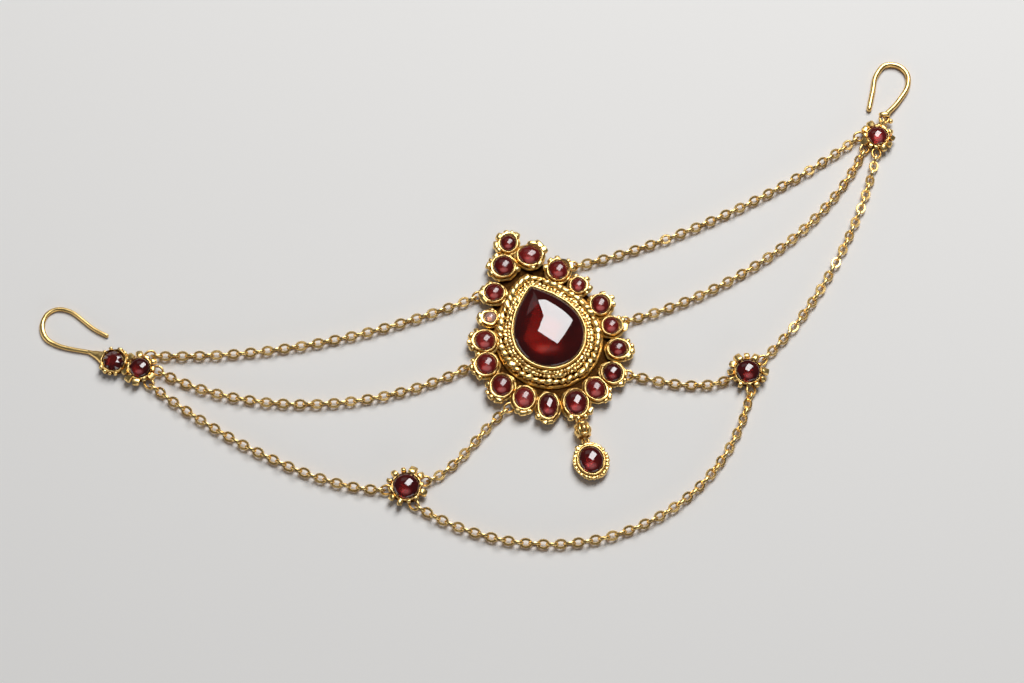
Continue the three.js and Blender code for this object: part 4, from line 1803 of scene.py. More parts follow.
# Lobes of gold at the edge of the rim collets, by stone: each has its angle on the table, its
# length along the edge and its distance from the stone
RIM_LOBES = {
    1: ((80, 1.1, 0.7), (52, 1.0, 0.8), (25, 1.5, 0.9), (130, 1.5, 0.8), (165, 1.7, 0.9), (200, 1.3, 0.8)),
    2: ((100, 1.4, 0.8), (130, 1.3, 1.0), (158, 1.4, 1.0), (185, 1.5, 0.9), (330, 1.0, 0.9)),
    3: ((95, 1.6, 0.6), (130, 1.8, 0.8), (165, 1.7, 0.9), (200, 1.7, 0.8), (330, 1.1, 0.8)),
    4: ((60, 1.3, 0.7), (150, 1.6, 0.9), (190, 1.8, 1.0), (350, 1.2, 0.8)),
    5: ((100, 1.3, 0.9), (135, 1.5, 1.0), (165, 1.3, 1.1), (192, 1.5, 1.0)),
    6: ((110, 1.4, 0.9), (140, 1.4, 1.0), (168, 1.6, 1.1), (195, 1.4, 1.0), (220, 1.3, 0.9)),
    7: ((150, 1.5, 1.0), (178, 1.4, 1.1), (205, 1.6, 1.1), (238, 1.9, 1.0)),
    8: ((215, 1.4, 0.9), (245, 1.7, 1.0), (275, 1.5, 0.9)),
    9: ((190, 1.3, 0.9), (232, 1.9, 0.9), (262, 1.6, 0.9)),
    10: ((228, 1.3, 0.9), (252, 1.1, 0.9), (290, 1.1, 0.9), (320, 1.5, 0.9)),
    11: ((350, 1.3, 0.9), (320, 1.6, 1.0), (290, 1.5, 1.0)),
    12: ((340, 1.5, 0.8), (310, 1.4, 0.9), (285, 1.3, 0.9), (120, 1.2, 0.6)),
    13: ((25, 1.2, 0.9), (355, 1.2, 1.0), (330, 1.3, 1.0), (300, 1.5, 0.9)),
    14: ((340, 1.9, 1.0), (10, 1.7, 1.0), (40, 1.3, 0.9)),
    15: ((345, 1.3, 0.9), (12, 1.1, 1.0), (62, 1.5, 0.8), (130, 1.6, 0.7)),
    16: ((320, 1.5, 0.9), (295, 1.3, 0.8), (90, 1.5, 0.7), (20, 1.1, 0.9)),
    17: ((355, 1.8, 0.9), (25, 1.2, 0.9), (70, 1.2, 0.9), (110, 1.3, 0.9), (145, 1.3, 0.8)),
    18: ((64, 2.2, 0.6), (36, 2.4, 0.8), (10, 2.0, 0.8), (48, 2.2, 0.7), (292, 1.4, 0.8), (268, 1.3, 0.8)),
}


@dataclass(frozen=True)
class BeadRow:
    """A row of beads round the centre stone.

    Args:
        out: Its distance outside the stone.
        z: Height of the beads' middles.
        pitch: From one bead to the next.
        size: A bead's length along the row, width and height.
        twist: Turn of each bead, in degrees.
        wander: How uneven the beads are, as a share of their size.
        dent: How far their surface is dented.
    """

    out: float
    z: float
    pitch: float
    size: tuple[float, float, float]
    twist: float
    wander: float
    dent: float


@dataclass
class Pendant(SubAssembly):
    """The pendant: back plate, stepped pear setting, rim collets and their stones."""

    pear: Pear = field(default_factory=Pear)
    plate: float = 0.9
    seat: float = 2.8
    girdle: float = 4.0
    crown: float = 2.6
    clarity: float = 0.06

    # Rows of distance outside the stone, height, and tarnish with painted shade, fullest at the foot and
    # in the floor under the bead rows
    BEZEL: Profile = (
        (4.85, 0.30, 0.9),
        (4.92, 0.80, 0.7),
        (4.86, 1.25, 0.5),
        (4.60, 1.58, 0.3),
        (4.25, 1.62, 0.6),
        (3.90, 1.60, 1.0),
        (3.40, 1.65, 1.0),
        (2.80, 1.75, 1.0),
        (2.45, 1.90, 1.0),
        (2.05, 2.20, 0.8),
        (1.45, 2.55, 0.6),
        (1.00, 2.95, 0.6),
        (0.78, 3.25, 0.8),
        (0.66, 3.45, 0.6),
        (0.60, 3.70, 0.1),
        (0.62, 3.95, 0.0),
        (0.56, 4.18, 0.0),
        (0.40, 4.30, 0.0),
        (0.20, 4.24, 0.0),
        (0.09, 4.05, 0.4),
        (0.25, 3.70, 0.3),
        (0.25, 2.80, 0.3),
    )
    ROWS = (
        BeadRow(3.4, 2.1, 1.8, (2.6, 1.55, 1.5), 26, 0.32, 0.3),
        BeadRow(1.95, 2.45, 1.0, (1.45, 1.05, 1.0), 24, 0.34, 0.28),
        BeadRow(1.12, 3.0, 0.95, (1.35, 0.9, 0.85), 28, 0.34, 0.26),
    )
    RIM_LIP, RIM_SEAT = 2.9, 1.9
    PLATE_EDGE = 0.12
    PLATE_STEPS = 8
    # Painted shade: the plate darkens to full on its top, where it shows between the collets
    PLATE_SHADE = (0.7, 0.7, 1.0, 1.0)
    BEZEL_DENT = (0.13, 2.3)
    ROW_ROUNDNESS = 0.85
    ROW_WAVE = 0.9
    DOME_ROWS = 22
    FOOT_SHARE = 0.998
    GLOW_FROM = 0.55
    LOBE_WIDTH = 1.4
    LOBE_STRETCH = 1.25
    LOBE_HEIGHT = 1.3
    LOBE_Z = 2.1
    LOBE_UNEVEN, LOBE_ROUNDNESS = 0.22, 0.75
    LOBE_DROOP = math.radians(12)
    LOBE_DENT = (0.25, 1.1)
    CREST_Z = 2.6
    CREST_STONE = 18

    def seats(self) -> list[StoneSeat]:
        """Sets out the rim.

        Returns:
            The rim stones in their collets.
        """
        return [
            StoneSeat(
                f"rim_stone_{number:02d}",
                stone.wide,
                stone.long,
                stone.turn,
                RIM_PROFILE,
                lip=self.RIM_LIP,
                seat=self.RIM_SEAT,
                clarity=stone.clarity,
                flares=RIM_FLARES[number],
            )
            for number, stone in enumerate(RIM_STONES, 1)
        ]

    def back_plate(self) -> Shell:
        """Cuts the plate that the collets stand on.

        Returns:
            The plate.
        """
        middles = [(seat.middle.x, seat.middle.y, 0.0) for seat in self.seats()]
        line = smooth_path(middles, self.PLATE_STEPS, closed=True)
        heights = (0.0, self.PLATE_EDGE, self.plate - self.PLATE_EDGE, self.plate)
        rings = [line + np.array((0.0, 0.0, z)) for z in heights]
        return loft(rings, self.PLATE_SHADE)

    def bezel(self) -> Shell:
        """The stepped wall round the centre stone."""
        rings = [self.pear.around(out, z) for out, z, _ in self.BEZEL]
        return loft(rings, [patina_and_shade for _, _, patina_and_shade in self.BEZEL]).wobbled(*self.BEZEL_DENT)

    def ropes(self) -> list[Shell]:
        """Lays the twisted rope and the two rows of grains round the bezel.

        Returns:
            The three rows.
        """
        made = []
        for number, row in enumerate(self.ROWS):
            beads = self.shop.beads.grown(
                line_mesh(f"bead_row_{number}", [self.pear.around(row.out, row.z)], closed=True),
                Pitch=row.pitch,
                Length=row.size[0],
                Width=row.size[1],
                Height=row.size[2],
                Twist=math.radians(row.twist),
                Unevenness=row.wander,
                Roundness=self.ROW_ROUNDNESS,
                Seed=number,
                Finish=self.shop.gold,
            )
            made.append(beads.wobbled(row.dent, self.ROW_WAVE))
        return made

    def lobes(self) -> Shell:
        """Sets the uneven lobes at the outer edge of the rim collets.

        Returns:
            The lobes.
        """
        made = []
        for number, seat in enumerate(self.seats(), 1):
            height = self.CREST_Z if number == self.CREST_STONE else self.LOBE_Z
            for angle, length, out in RIM_LOBES[number]:
                way = heading(angle)
                ring = seat.flared(seat.rim(out, height), out)
                turns = (ring[:, :2] - np.array(seat.middle)[:2]) @ np.array(way)
                spot = ring[int(np.argmax(turns))]
                size = (self.LOBE_WIDTH, length * self.LOBE_STRETCH, self.LOBE_HEIGHT)
                made.append(Granule(tuple(spot), tuple(way), size))
        lobes = self.shop.granules.scattered(
            made, self.shop.gold, self.LOBE_UNEVEN, self.LOBE_ROUNDNESS, self.LOBE_DROOP, seed=11
        )
        return lobes.wobbled(*self.LOBE_DENT)

    def setting(self) -> None:
        """Makes the gold of the pendant."""
        seats = self.seats()
        collets = [seat.collet() for seat in seats]
        drop_lug = Drop(self.shop, self.light).pendant_lug()
        shells = [self.back_plate(), self.bezel(), *collets, *self.ropes(), drop_lug, self.lobes()]
        shells.extend(lugs_beside([seat.node for seat in seats]))
        self.shop.piece("pendant_gold", shells, Finish.GOLD, "pendant_setting")

    def stones(self) -> None:
        """Makes the centre stone and the rim stones."""
        foot = self.pear.drawn_in(self.FOOT_SHARE, self.seat + STONE_GAP)
        rings = [foot, self.pear.drawn_in(1.0, self.girdle)]
        for row in range(1, self.DOME_ROWS):
            climb = row / self.DOME_ROWS * math.pi / 2
            height = self.girdle + self.crown * math.sin(climb)
            rings.append(self.pear.drawn_in(math.cos(climb), height))
        stone = loft(rings, [0.0] * len(rings))
        stone.points[-1] = (self.pear.middle_x, 0.0, self.girdle + self.crown)
        middle = frame_middle("centre_stone")
        # Painted glow in the centre stone
        glow = glow_in(stone.points, middle, self.pear.tail, self.light, self.GLOW_FROM)
        stone.shade = self.clarity + glow
        self.shop.piece("centre_garnet", [stone], Finish.CENTRE_GARNET, "centre_stone")
        for seat, stone in zip(self.seats(), RIM_STONES):
            name = seat.node.replace("stone", "garnet")
            self.shop.piece(name, [seat.cabochon(self.light)], stone.finish, seat.node)


# The drop


@dataclass
class Drop(SubAssembly):
    """The drop and the fluted bail that it hangs on, along its own -Y axis from the pendant's lug."""

    lug_x: float = -0.1
    lug_y: float = -24.9
    turn: float = -5.6
    ring: float = 2.1
    ring_wire: float = 0.5
    ring_z: float = 1.6
    ring_pitch: float = 0.8
    ring_out: float = 0.5
    barrel_length: float = 3.0
    barrel_radius: float = 2.2
    barrel_end: float = 1.4
    flutes: int = 9
    wide: float = 6.0
    long: float = 7.0

    LIP, SEAT = 2.7, 1.7
    BARREL_ROWS = 17
    FLUTE_SIDES = 12
    FLUTE_DEPTH = 0.24
    FLUTE_FULLNESS = 0.6
    FLUTE_WEAR_AND_SHADE = 0.95
    COLLAR_INSET = 0.1
    COLLAR_SIZES = (3.9, 3.6)
    COLLAR_WIRE = 0.75
    RIBS = 26
    RIB_OUT, RIB_Z = 1.02, 1.85
    RIB_LENGTH, RIB_WIDTH = 1.15, 0.95
    RIB_LOW, RIB_RISE = 0.45, 0.45
    RIB_SLANT = 0.3
    RIB_UNEVEN, RIB_ROUNDNESS = 0.12, 0.8
    RIB_DENT = (0.15, 1.0)
    BOLD_SIDE = math.radians(5)
    KNOB_SIDE = 22
    KNOB_OUT, KNOB_Z = 1.3, 1.5
    KNOB = (1.5, 1.6, 1.6)

    @property
    def place(self) -> Matrix:
        """The move from the drop's own axes to the pendant's."""
        spot = Matrix.Translation((self.lug_x, self.lug_y, 0.0))
        return spot @ Matrix.Rotation(math.radians(self.turn), 4, "Z")

    @property
    def barrel_top(self) -> float:
        """Distance from the pendant's lug to the barrel."""
        return self.ring_pitch + self.ring_out

    @property
    def drop_top(self) -> float:
        """Distance from the pendant's lug to the drop's own lug."""
        return self.barrel_top + self.barrel_length + self.ring_out + self.ring_pitch

    def seat(self) -> StoneSeat:
        """The drop's stone in its collet."""
        sizes = (self.wide, self.long, self.turn)
        return StoneSeat("drop_stone", *sizes, DROP_PROFILE, lip=self.LIP, seat=self.SEAT)

    def loop(self, distance: float, lean: float) -> Shell:
        """A ring on the drop's axis.

        Args:
            distance: From the pendant's lug to its middle.
            lean: Its plane's turn about the axis.

        Returns:
            The ring, in place.
        """
        spot = along_table(Vector((0.0, -distance, self.ring_z)), Vector((0.0, -1.0, 0.0)), lean)
        return wire_oval(self.ring, self.ring, self.ring_wire).placed(self.place @ spot)

    def pendant_lug(self) -> Shell:
        """The ring under the pendant."""
        return self.loop(0.0, math.pi / 2)

    def barrel(self) -> Shell:
        """Turns the fluted barrel between the two rings.

        Returns:
            The barrel, in place.
        """
        rows, sides = self.BARREL_ROWS, self.FLUTE_SIDES * self.flutes
        angles = np.arange(sides) * math.tau / sides
        rib = np.abs(np.cos(angles * self.flutes / 2)) ** self.FLUTE_FULLNESS
        rings, shades = [], []
        for row in range(rows):
            share = row / (rows - 1)
            belly = math.sin(share * math.pi)
            radius = self.barrel_end + (self.barrel_radius - self.barrel_end) * belly
            section = radius * (1 - self.FLUTE_DEPTH * (1 - rib) * belly**0.5)
            y = np.full(sides, -self.barrel_top - share * self.barrel_length)
            z = self.barrel_radius + section * np.sin(angles)
            rings.append(np.stack([section * np.cos(angles), y, z], 1))
            # Flutes rubbed bright on their ridges, grooves dark with tarnish and painted shade
            shades.append(1 - rib * self.FLUTE_WEAR_AND_SHADE)
        shell = loft(rings, [0.0] * rows)
        shell.shade[: rows * sides] = np.concatenate(shades)
        return shell.placed(self.place)

    def collars(self) -> list[Shell]:
        """Makes the flared rings at the barrel's ends.

        Returns:
            The two rings, in place.
        """
        first = self.barrel_top + self.COLLAR_INSET
        last = self.barrel_top + self.barrel_length - self.COLLAR_INSET
        made = []
        for distance, size in zip((first, last), self.COLLAR_SIZES):
            ring = wire_oval(size, size, self.COLLAR_WIRE)
            spot = Matrix.Translation((0.0, -distance, self.barrel_radius))
            upright = spot @ Matrix.Rotation(math.pi / 2, 4, "X")
            made.append(ring.placed(self.place @ upright))
        return made

    def gadroons(self) -> Shell:
        """Makes the ribs across the drop's border, bolder on its right side.

        Returns:
            The ribs and a knob.
        """
        seat = self.seat()
        ring = seat.rim(self.RIB_OUT, self.RIB_Z)
        ribs = []
        for number in range(self.RIBS):
            share = number / self.RIBS
            angle = math.radians(self.turn) + share * math.tau
            bold = 0.5 + 0.5 * math.cos(angle - self.BOLD_SIDE)
            way = (math.cos(angle + self.RIB_SLANT), math.sin(angle + self.RIB_SLANT))
            size = (self.RIB_LENGTH, self.RIB_WIDTH, self.RIB_LOW + self.RIB_RISE * bold)
            ribs.append(Granule(tuple(ring[round(share * seat.SIDES) % seat.SIDES]), way, size))
        knob = seat.rim(self.KNOB_OUT, self.KNOB_Z)[self.KNOB_SIDE]
        ribs.append(Granule(tuple(knob), (1.0, 0.0), self.KNOB))
        made = self.shop.granules.scattered(
            ribs, self.shop.gold, self.RIB_UNEVEN, self.RIB_ROUNDNESS, seed=17
        )
        return made.wobbled(*self.RIB_DENT)

    def build(self) -> None:
        """Makes the bail, the setting and the stone."""
        foot = self.barrel_top + self.barrel_length + self.ring_out
        rings = [self.loop(self.ring_pitch, 0.0), self.loop(foot, math.pi / 2)]
        bail = [self.barrel(), *self.collars(), *rings]
        self.shop.piece("drop_bail_gold", bail, Finish.GOLD, "drop_bail")
        seat = self.seat()
        setting = [seat.collet(), self.gadroons(), self.loop(self.drop_top, 0.0)]
        self.shop.piece("drop_gold", setting, Finish.GOLD, "drop_setting")
        self.shop.piece("drop_garnet", [seat.cabochon(self.light)], Finish.GARNET, "drop_stone")


# Flowers and hooks


@dataclass
class Flower:
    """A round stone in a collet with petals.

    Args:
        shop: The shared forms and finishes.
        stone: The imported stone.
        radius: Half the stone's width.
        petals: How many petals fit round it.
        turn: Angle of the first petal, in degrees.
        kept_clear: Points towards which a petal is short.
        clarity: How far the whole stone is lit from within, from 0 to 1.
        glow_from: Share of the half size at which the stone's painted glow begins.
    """

    shop: Workshop
    stone: str
    radius: float
    petals: int
    turn: float
    kept_clear: Sequence[tuple[float, float]]
    clarity: float = 0.05
    glow_from: float = 0.3

    PETAL_OUT = 1.08
    PETAL = (2.0, 1.75, 1.7)
    PETAL_Z = 1.75
    SHORT_OUT = 0.6
    SHORT_PETAL = (1.2, 1.3, 1.4)
    DROOP = math.radians(20)
    CLEARANCE = math.radians(17)
    SWELL = 0.2
    UNEVEN, ROUNDNESS = 0.18, 0.62
    DENT = (0.22, 1.2)

    def seat(self) -> StoneSeat:
        """Sets out the stone.

        Returns:
            The stone in its collet.
        """
        return StoneSeat(
            self.stone,
            2 * self.radius,
            2 * self.radius,
            self.turn,
            FLOWER_PROFILE,
            lip=FLOWER_LIP,
            seat=FLOWER_SEAT,
            clarity=self.clarity,
            glow_from=self.glow_from,
        )

    def petal_granules(self) -> list[Granule]:
        """Sets out the petals, short where a chain, a hook or another collet is in the way.

        Returns:
            The petals.
        """
        middle = self.seat().middle
        ways = [Vector((x - middle.x, y - middle.y)) for x, y in self.kept_clear]
        made = []
        for number in range(self.petals):
            angle = math.radians(self.turn) + number / self.petals * math.tau
            facing = Vector((math.cos(angle), math.sin(angle)))
            free = all(abs(facing.angle_signed(way)) > self.CLEARANCE for way in ways)
            out, size = (self.PETAL_OUT, self.PETAL) if free else (self.SHORT_OUT, self.SHORT_PETAL)
            swell = 1 + self.SWELL * math.sin(number * number + self.turn) if free else 1
            spot = middle.to_2d() + facing * (self.radius + out)
            sizes = (size[0] * swell, size[1] * swell, size[2])
            made.append(Granule((spot.x, spot.y, self.PETAL_Z), (facing.x, facing.y), sizes))
        return made

    def shells(self) -> list[Shell]:
        """Makes the flower's gold.

        Returns:
            Collet, petals and the lugs of the chains that end here.
        """
        petals = self.shop.granules.scattered(
            self.petal_granules(), self.shop.gold, self.UNEVEN, self.ROUNDNESS, self.DROOP, seed=23
        )
        return [self.seat().collet(), petals.wobbled(*self.DENT), *lugs_beside([self.stone])]

    def chain_ends(self) -> list[tuple[float, float]]:
        """Where chains end at this flower."""
        starts = [chain.start for chain in CHAINS if chain.from_stone == self.stone]
        return starts + [chain.end for chain in CHAINS if chain.to_stone == self.stone]

    def gem(self, light: Vector) -> None:
        """Makes the stone.

        Args:
            light: The level way from which most light comes.
        """
        name = self.stone.replace("stone", "garnet")
        self.shop.piece(name, [self.seat().cabochon(light)], Finish.GARNET, self.stone)


HOOK_LIFT = 10
HOOK_STEPS = 10
HOOK_BEND, HOOK_BEND_SPREAD = 0.68, 0.2
HOOK_SIDES = 14
# Darker underside of the hook wire: tarnish with painted shade
HOOK_UNDERSIDE_SHADE = 0.75
HOOK_DENT = (0.05, 3.0)


def hook_shell(
    points: Sequence[tuple[float, float]], wire: float, root_z: float, flattened: float
) -> Shell:
    """A hook of round wire that lies on the table and rises to its root.

    Args:
        points: The points that it passes, from the free end.
        wire: The wire's thickness.
        root_z: Height of its root.
        flattened: How much wider the wire is in its bend, as a share of its thickness.

    Returns:
        The wire.
    """
    half, last = wire / 2, len(points) - 1
    lifts = [(step / last) ** HOOK_LIFT for step in range(len(points))]
    path = [(x, y, half + (root_z - half) * lift) for (x, y), lift in zip(points, lifts)]
    line = smooth_path(path, HOOK_STEPS)
    shares = np.linspace(0, 1, len(line))
    wide = half * (1 + flattened * np.exp(-(((shares - HOOK_BEND) / HOOK_BEND_SPREAD) ** 2)))
    high = np.full(len(line), half)
    return sweep(line, wide, high, HOOK_SIDES, HOOK_UNDERSIDE_SHADE).wobbled(*HOOK_DENT)


@dataclass
class LeftEnd(SubAssembly):
    """The left hook, the faceted stone's collet and the left flower, soldered together."""

    wire: float = 1.0
    tongue_width: float = 4.0

    HOOK = (
        (-103.4, 36.9),
        (-106.0, 39.9),
        (-110.05, 46.3),
        (-113.0, 48.1),
        (-115.9, 47.6),
        (-117.9, 44.9),
        (-117.9, 41.3),
        (-115.4, 38.2),
        (-107.6, 33.3),
    )
    # Lobes of the end collet: angle on the table, length along the edge
    LOBES = (
        *((85, 1.0), (45, 1.5), (20, 1.7), (-8, 1.6), (215, 1.1)),
        *((238, 1.0), (262, 1.1), (115, 1.3), (190, 1.4)),
    )
    LOBE_OUT, LOBE_Z = 0.7, 1.75
    LOBE_WIDTH, LOBE_HEIGHT = 1.0, 1.3
    SOLDER = (1.7, 1.7, 1.7)
    SOLDER_Z = 0.95
    UNEVEN, ROUNDNESS = 0.2, 0.75
    FLATTENED = 0.4
    NECK = 1.6
    NECK_PULL = 0.3
    TONGUE_STEPS, TONGUE_SIDES = 6, 18
    TONGUE_INSET = 0.1
    TONGUE_FLARE = 1.2
    TONGUE_RISE = 0.35
    # Darker underside of the tongue: tarnish with painted shade
    TONGUE_UNDERSIDE_SHADE = 0.8
    TONGUE_DENT = (0.12, 0.9)
    STONE_RADIUS = 2.75
    STONE_GIRDLE, STONE_FOOT = 2.2, 1.75
    STONE_TABLE, STONE_CROWN = 0.42, 1.1
    STONE_TURN = 17.5

    def collet_seat(self) -> StoneSeat:
        """The faceted stone in its collet."""
        size = 2 * self.STONE_RADIUS
        return StoneSeat(
            "left_collet_stone", size, size, 0.0, FLOWER_PROFILE, lip=FLOWER_LIP, seat=FLOWER_SEAT
        )

    def tongue(self) -> Shell:
        """Beats the end of the hook out into a fan against the collet.

        Returns:
            The fan.
        """
        root, before = Vector((*self.HOOK[-1], 0.0)), Vector((*self.HOOK[-2], 0.0))
        neck = root + (before - root).normalized() * self.NECK
        middle = self.collet_seat().middle
        foot = middle + (root - middle).normalized() * (self.STONE_RADIUS - self.TONGUE_INSET)
        between = (root + foot) / 2 + (neck - root) * self.NECK_PULL
        line = smooth_path([tuple(neck), tuple(between), tuple(foot)], self.TONGUE_STEPS)
        shares = np.linspace(0, 1, len(line))
        half = self.wire / 2
        wide = half + (self.tongue_width / 2 - half) * shares**self.TONGUE_FLARE
        high = half + self.TONGUE_RISE * shares
        line[:, 2] = high
        fan = sweep(line, wide, high, self.TONGUE_SIDES, self.TONGUE_UNDERSIDE_SHADE)
        return fan.wobbled(*self.TONGUE_DENT)

    def grains(self, flower: Flower) -> list[Granule]:
        """Solder between the collets, and the lobes of the end collet.

        Args:
            flower: The left flower.

        Returns:
            The grains.
        """
        seat = self.collet_seat()
        gap = flower.seat().middle - seat.middle
        spot = seat.middle + gap.normalized() * (gap.length + self.STONE_RADIUS - flower.radius) / 2
        made = [Granule((spot.x, spot.y, self.SOLDER_Z), (1.0, 0.0), self.SOLDER)]
        for angle, length in self.LOBES:
            way = heading(angle)
            place = seat.middle.to_2d() + way * (self.STONE_RADIUS + self.LOBE_OUT)
            size = (self.LOBE_WIDTH, length, self.LOBE_HEIGHT)
            made.append(Granule((place.x, place.y, self.LOBE_Z), tuple(way), size))
        return made

    def build(self) -> None:
        """Makes the gold and both stones."""
        seat = self.collet_seat()
        end = (seat.middle.x, seat.middle.y)
        flower = Flower(self.shop, "left_flower_stone", 2.6, 11, 10, [])
        flower.kept_clear = [*flower.chain_ends(), end]
        hook = hook_shell(self.HOOK, self.wire, self.wire / 2, self.FLATTENED)
        grains = self.shop.granules.scattered(
            self.grains(flower), self.shop.gold, self.UNEVEN, self.ROUNDNESS, seed=29
        )
        shells = [*flower.shells(), hook, self.tongue(), seat.collet(), grains]
        self.shop.piece("left_hook_gold", shells, Finish.GOLD, "left_hook_setting")
        flower.gem(self.light)
        cut = CutStone(
            seat.node,
            self.STONE_RADIUS,
            self.STONE_TABLE,
            self.STONE_CROWN,
            girdle=self.STONE_GIRDLE,
            seat=self.STONE_FOOT,
            turn=self.STONE_TURN,
        ).shell()
        self.shop.piece("left_collet_garnet", [cut], Finish.GARNET, seat.node, Shading.FACETED)


@dataclass
class RightEnd(SubAssembly):
    """The right flower with its lug, and the hook whose eye passes through it."""

    wire: float = 1.4
    eye_length: float = 3.2
    eye_width: float = 3.0
    eye_wire: float = 0.8
    lug_distance: float = 4.55
    eye_distance: float = 5.85

    HOOK = (
        (101.15, 33.3),
        (104.1, 37.95),
        (106.55, 41.8),
        (110.0, 44.0),
        (113.3, 42.7),
        (114.5, 39.6),
        (113.2, 36.3),
        (108.6, 32.4),
        (104.4, 30.0),
    )
    BALL = Granule((104.7, 27.7, 1.6), (1.0, 0.0), (1.4, 1.4, 1.4))
    BAR = Granule((103.75, 29.7, 2.3), (0.943, -0.334), (3.2, 1.5, 1.4))
    UNEVEN = 0.05

    def ring(self, distance: float, lean: float) -> Shell:
        """A ring between the flower and the hook.

        Args:
            distance: From the flower's middle to its own.
            lean: Its plane's turn.

        Returns:
            The ring, in place.
        """
        middle = frame_middle("right_flower_stone")
        root = self.HOOK[-1]
        way = Vector((root[0] - middle.x, root[1] - middle.y, 0.0)).normalized()
        spot = Vector((middle.x, middle.y, self.eye_width / 2)) + way * distance
        ring = wire_oval(self.eye_length, self.eye_width, self.eye_wire)
        return ring.placed(along_table(spot, way, lean))

    def build(self) -> None:
        """Makes the flower, its stone and the hook."""
        flower = Flower(
            self.shop, "right_flower_stone", 2.55, 12, 4, [], clarity=0.3, glow_from=0.0
        )
        flower.kept_clear = [*flower.chain_ends(), self.HOOK[-1]]
        grains, gold = self.shop.granules, self.shop.gold
        ball = grains.scattered([self.BALL], gold, self.UNEVEN, 1.0, seed=43)
        shells = [*flower.shells(), ball, self.ring(self.lug_distance, math.pi / 2)]
        self.shop.piece("right_flower_gold", shells, Finish.GOLD, "right_flower_setting")
        flower.gem(self.light)
        bar = grains.scattered([self.BAR], gold, self.UNEVEN, 0.9, seed=41)
        wire = hook_shell(self.HOOK, self.wire, self.eye_width / 2, 0.0)
        hook = [bar, wire, self.ring(self.eye_distance, 0.0)]
        self.shop.piece("right_hook_gold", hook, Finish.GOLD, "right_hook")


@dataclass
class Spreader(SubAssembly):
    """A flower between two chains and the pendant.

    Args:
        side: The side's name.
        radius: Half the stone's width.
        turn: Angle of the first petal, in degrees.
    """

    side: str
    radius: float
    turn: float

    PETALS = 12

    def build(self) -> None:
        """Makes the gold and the stone."""
        name = f"{self.side}_spreader"
        flower = Flower(self.shop, f"{name}_stone", self.radius, self.PETALS, self.turn, [])
        flower.kept_clear = flower.chain_ends()
        self.shop.piece(f"{name}_gold", flower.shells(), Finish.GOLD, f"{name}_setting")
        flower.gem(self.light)


# The stage


@dataclass(frozen=True)
class Lamp:
    """A soft rectangular lamp that shines on the pendant.

    Args:
        name: Its name.
        way: The direction in which it stands, from the pendant.
        distance: How far off it stands, in metres.
        size: Its width and height, in metres.
        power: Its power, in watts.
        roll: Its turn about its own axis, in degrees.
    """

    name: str
    way: tuple[float, float, float]
    distance: float
    size: tuple[float, float]
    power: float
    roll: float

    def build(self) -> None:
        """Hangs the lamp."""
        data = bpy.data.lights.new(self.name, "AREA")
        data.shape = "RECTANGLE"
        data.size, data.size_y = self.size
        data.energy = self.power
        lamp = bpy.data.objects.new(self.name, data)
        out = Vector(self.way).normalized()
        turn = (-out).to_track_quat("-Z", "Y").to_matrix().to_4x4()
        roll = Matrix.Rotation(math.radians(self.roll), 4, "Z")
        lamp.matrix_world = Matrix.Translation(out * self.distance) @ turn @ roll
        bpy.context.scene.collection.objects.link(lamp)


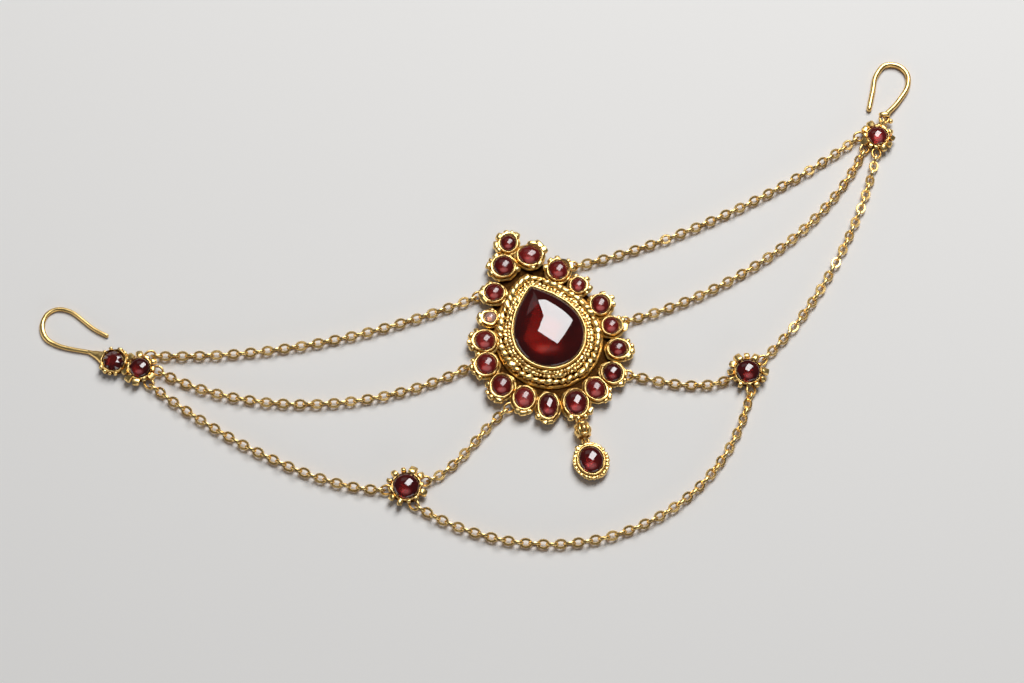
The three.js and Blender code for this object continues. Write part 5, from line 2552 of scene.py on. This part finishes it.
@dataclass
class Studio:
    """A pale table under soft lamps, and the camera.

    Args:
        aim: The point on the table in the middle of the picture, in millimetres.
        azimuth: The camera's turn about the table, in degrees.
        elevation: Its height above the horizon, in degrees.
        distance: From that point to the camera, in millimetres.
        lens: Focal length, in millimetres.
    """

    aim: tuple[float, float, float] = (-8.35, 1.82, 0.0)
    azimuth: float = -19.5
    elevation: float = 65.0
    distance: float = 711.1
    lens: float = 100.0

    SENSOR = 36.0
    CLIP = (0.01, 20.0)
    TABLE_HALF = 2.0
    TABLE_DROP = 0.00002
    TABLE_COLOUR = (0.9, 0.89, 0.87, 1.0)
    TABLE_ROUGH = 0.75
    ROOM = (0.065, 0.065, 0.068, 1.0)
    LAMPS = (
        Lamp("window", (0.3381, 0.4314, 0.8364), 1.1, (0.45, 0.79), 10.6, -15.0),
        Lamp("second_pane", (0.06, 0.748, 0.661), 1.1, (0.5, 0.4), 0.22, -15.0),
        Lamp("left_panel", (-0.95, 0.1, 0.16), 1.1, (0.9, 0.3), 1.3, 0.0),
        Lamp("front_panel", (0.1, -0.95, 0.2), 1.2, (1.0, 0.3), 1.8, 0.0),
    )

    @property
    def light(self) -> Vector:
        """The level way straight up the picture; the stones' painted glow lies on the side away from it.
        """
        turn = math.radians(self.azimuth)
        return Vector((-math.sin(turn), math.cos(turn), 0.0))

    def table(self) -> None:
        """Makes the pale table top."""
        half = self.TABLE_HALF
        corners = [(-half, -half), (half, -half), (half, half), (-half, half)]
        mesh = bpy.data.meshes.new("table_top")
        mesh.from_pydata([(x, y, -self.TABLE_DROP) for x, y in corners], [], [(0, 1, 2, 3)])
        made = bpy.data.materials.new("pale_table")
        made.use_nodes = True
        shader = made.node_tree.nodes["Principled BSDF"]
        shader.inputs["Base Color"].default_value = self.TABLE_COLOUR
        shader.inputs["Roughness"].default_value = self.TABLE_ROUGH
        mesh.materials.append(made)
        top = bpy.data.objects.new("table_top", mesh)
        bpy.context.scene.collection.objects.link(top)

    def lamps(self) -> None:
        """Hangs the lamps in a dim room."""
        for lamp in self.LAMPS:
            lamp.build()
        world = bpy.data.worlds.new("room")
        world.use_nodes = True
        world.node_tree.nodes["Background"].inputs["Color"].default_value = self.ROOM
        bpy.context.scene.world = world
        bpy.context.scene.view_settings.view_transform = "Standard"

    def camera(self) -> None:
        """Makes the camera at the photograph's angle."""
        azimuth, elevation = math.radians(self.azimuth), math.radians(self.elevation)
        level = math.cos(elevation)
        back = Vector((math.sin(azimuth) * level, -math.cos(azimuth) * level, math.sin(elevation)))
        data = bpy.data.cameras.new("camera")
        data.lens = self.lens
        data.sensor_width = self.SENSOR
        data.clip_start, data.clip_end = self.CLIP
        made = bpy.data.objects.new("camera", data)
        made.location = (Vector(self.aim) + back * self.distance) * MM
        made.rotation_mode = "QUATERNION"
        made.rotation_quaternion = (-back).to_track_quat("-Z", "Y")
        bpy.context.scene.collection.objects.link(made)
        bpy.context.scene.camera = made

    def build(self) -> None:
        """Makes the whole stage."""
        self.table()
        self.lamps()
        self.camera()


def main() -> None:
    """Builds the ornament and its stage, piece by piece."""
    logging.basicConfig(level=logging.INFO, format="%(name)s: %(message)s")
    noise.seed_set(DENT_SEED)
    studio = Studio()
    studio.build()
    shop = Workshop()
    pendant = Pendant(shop, studio.light)
    pendant.setting()
    pendant.stones()
    Drop(shop, studio.light).build()
    LeftEnd(shop, studio.light).build()
    RightEnd(shop, studio.light).build()
    Spreader(shop, studio.light, "left", 3.25, 20).build()
    Spreader(shop, studio.light, "right", 3.05, 12).build()
    for seed, chain in enumerate(CHAINS, 31):
        chain.build(shop, seed)


if __name__ == "__main__":
    main()
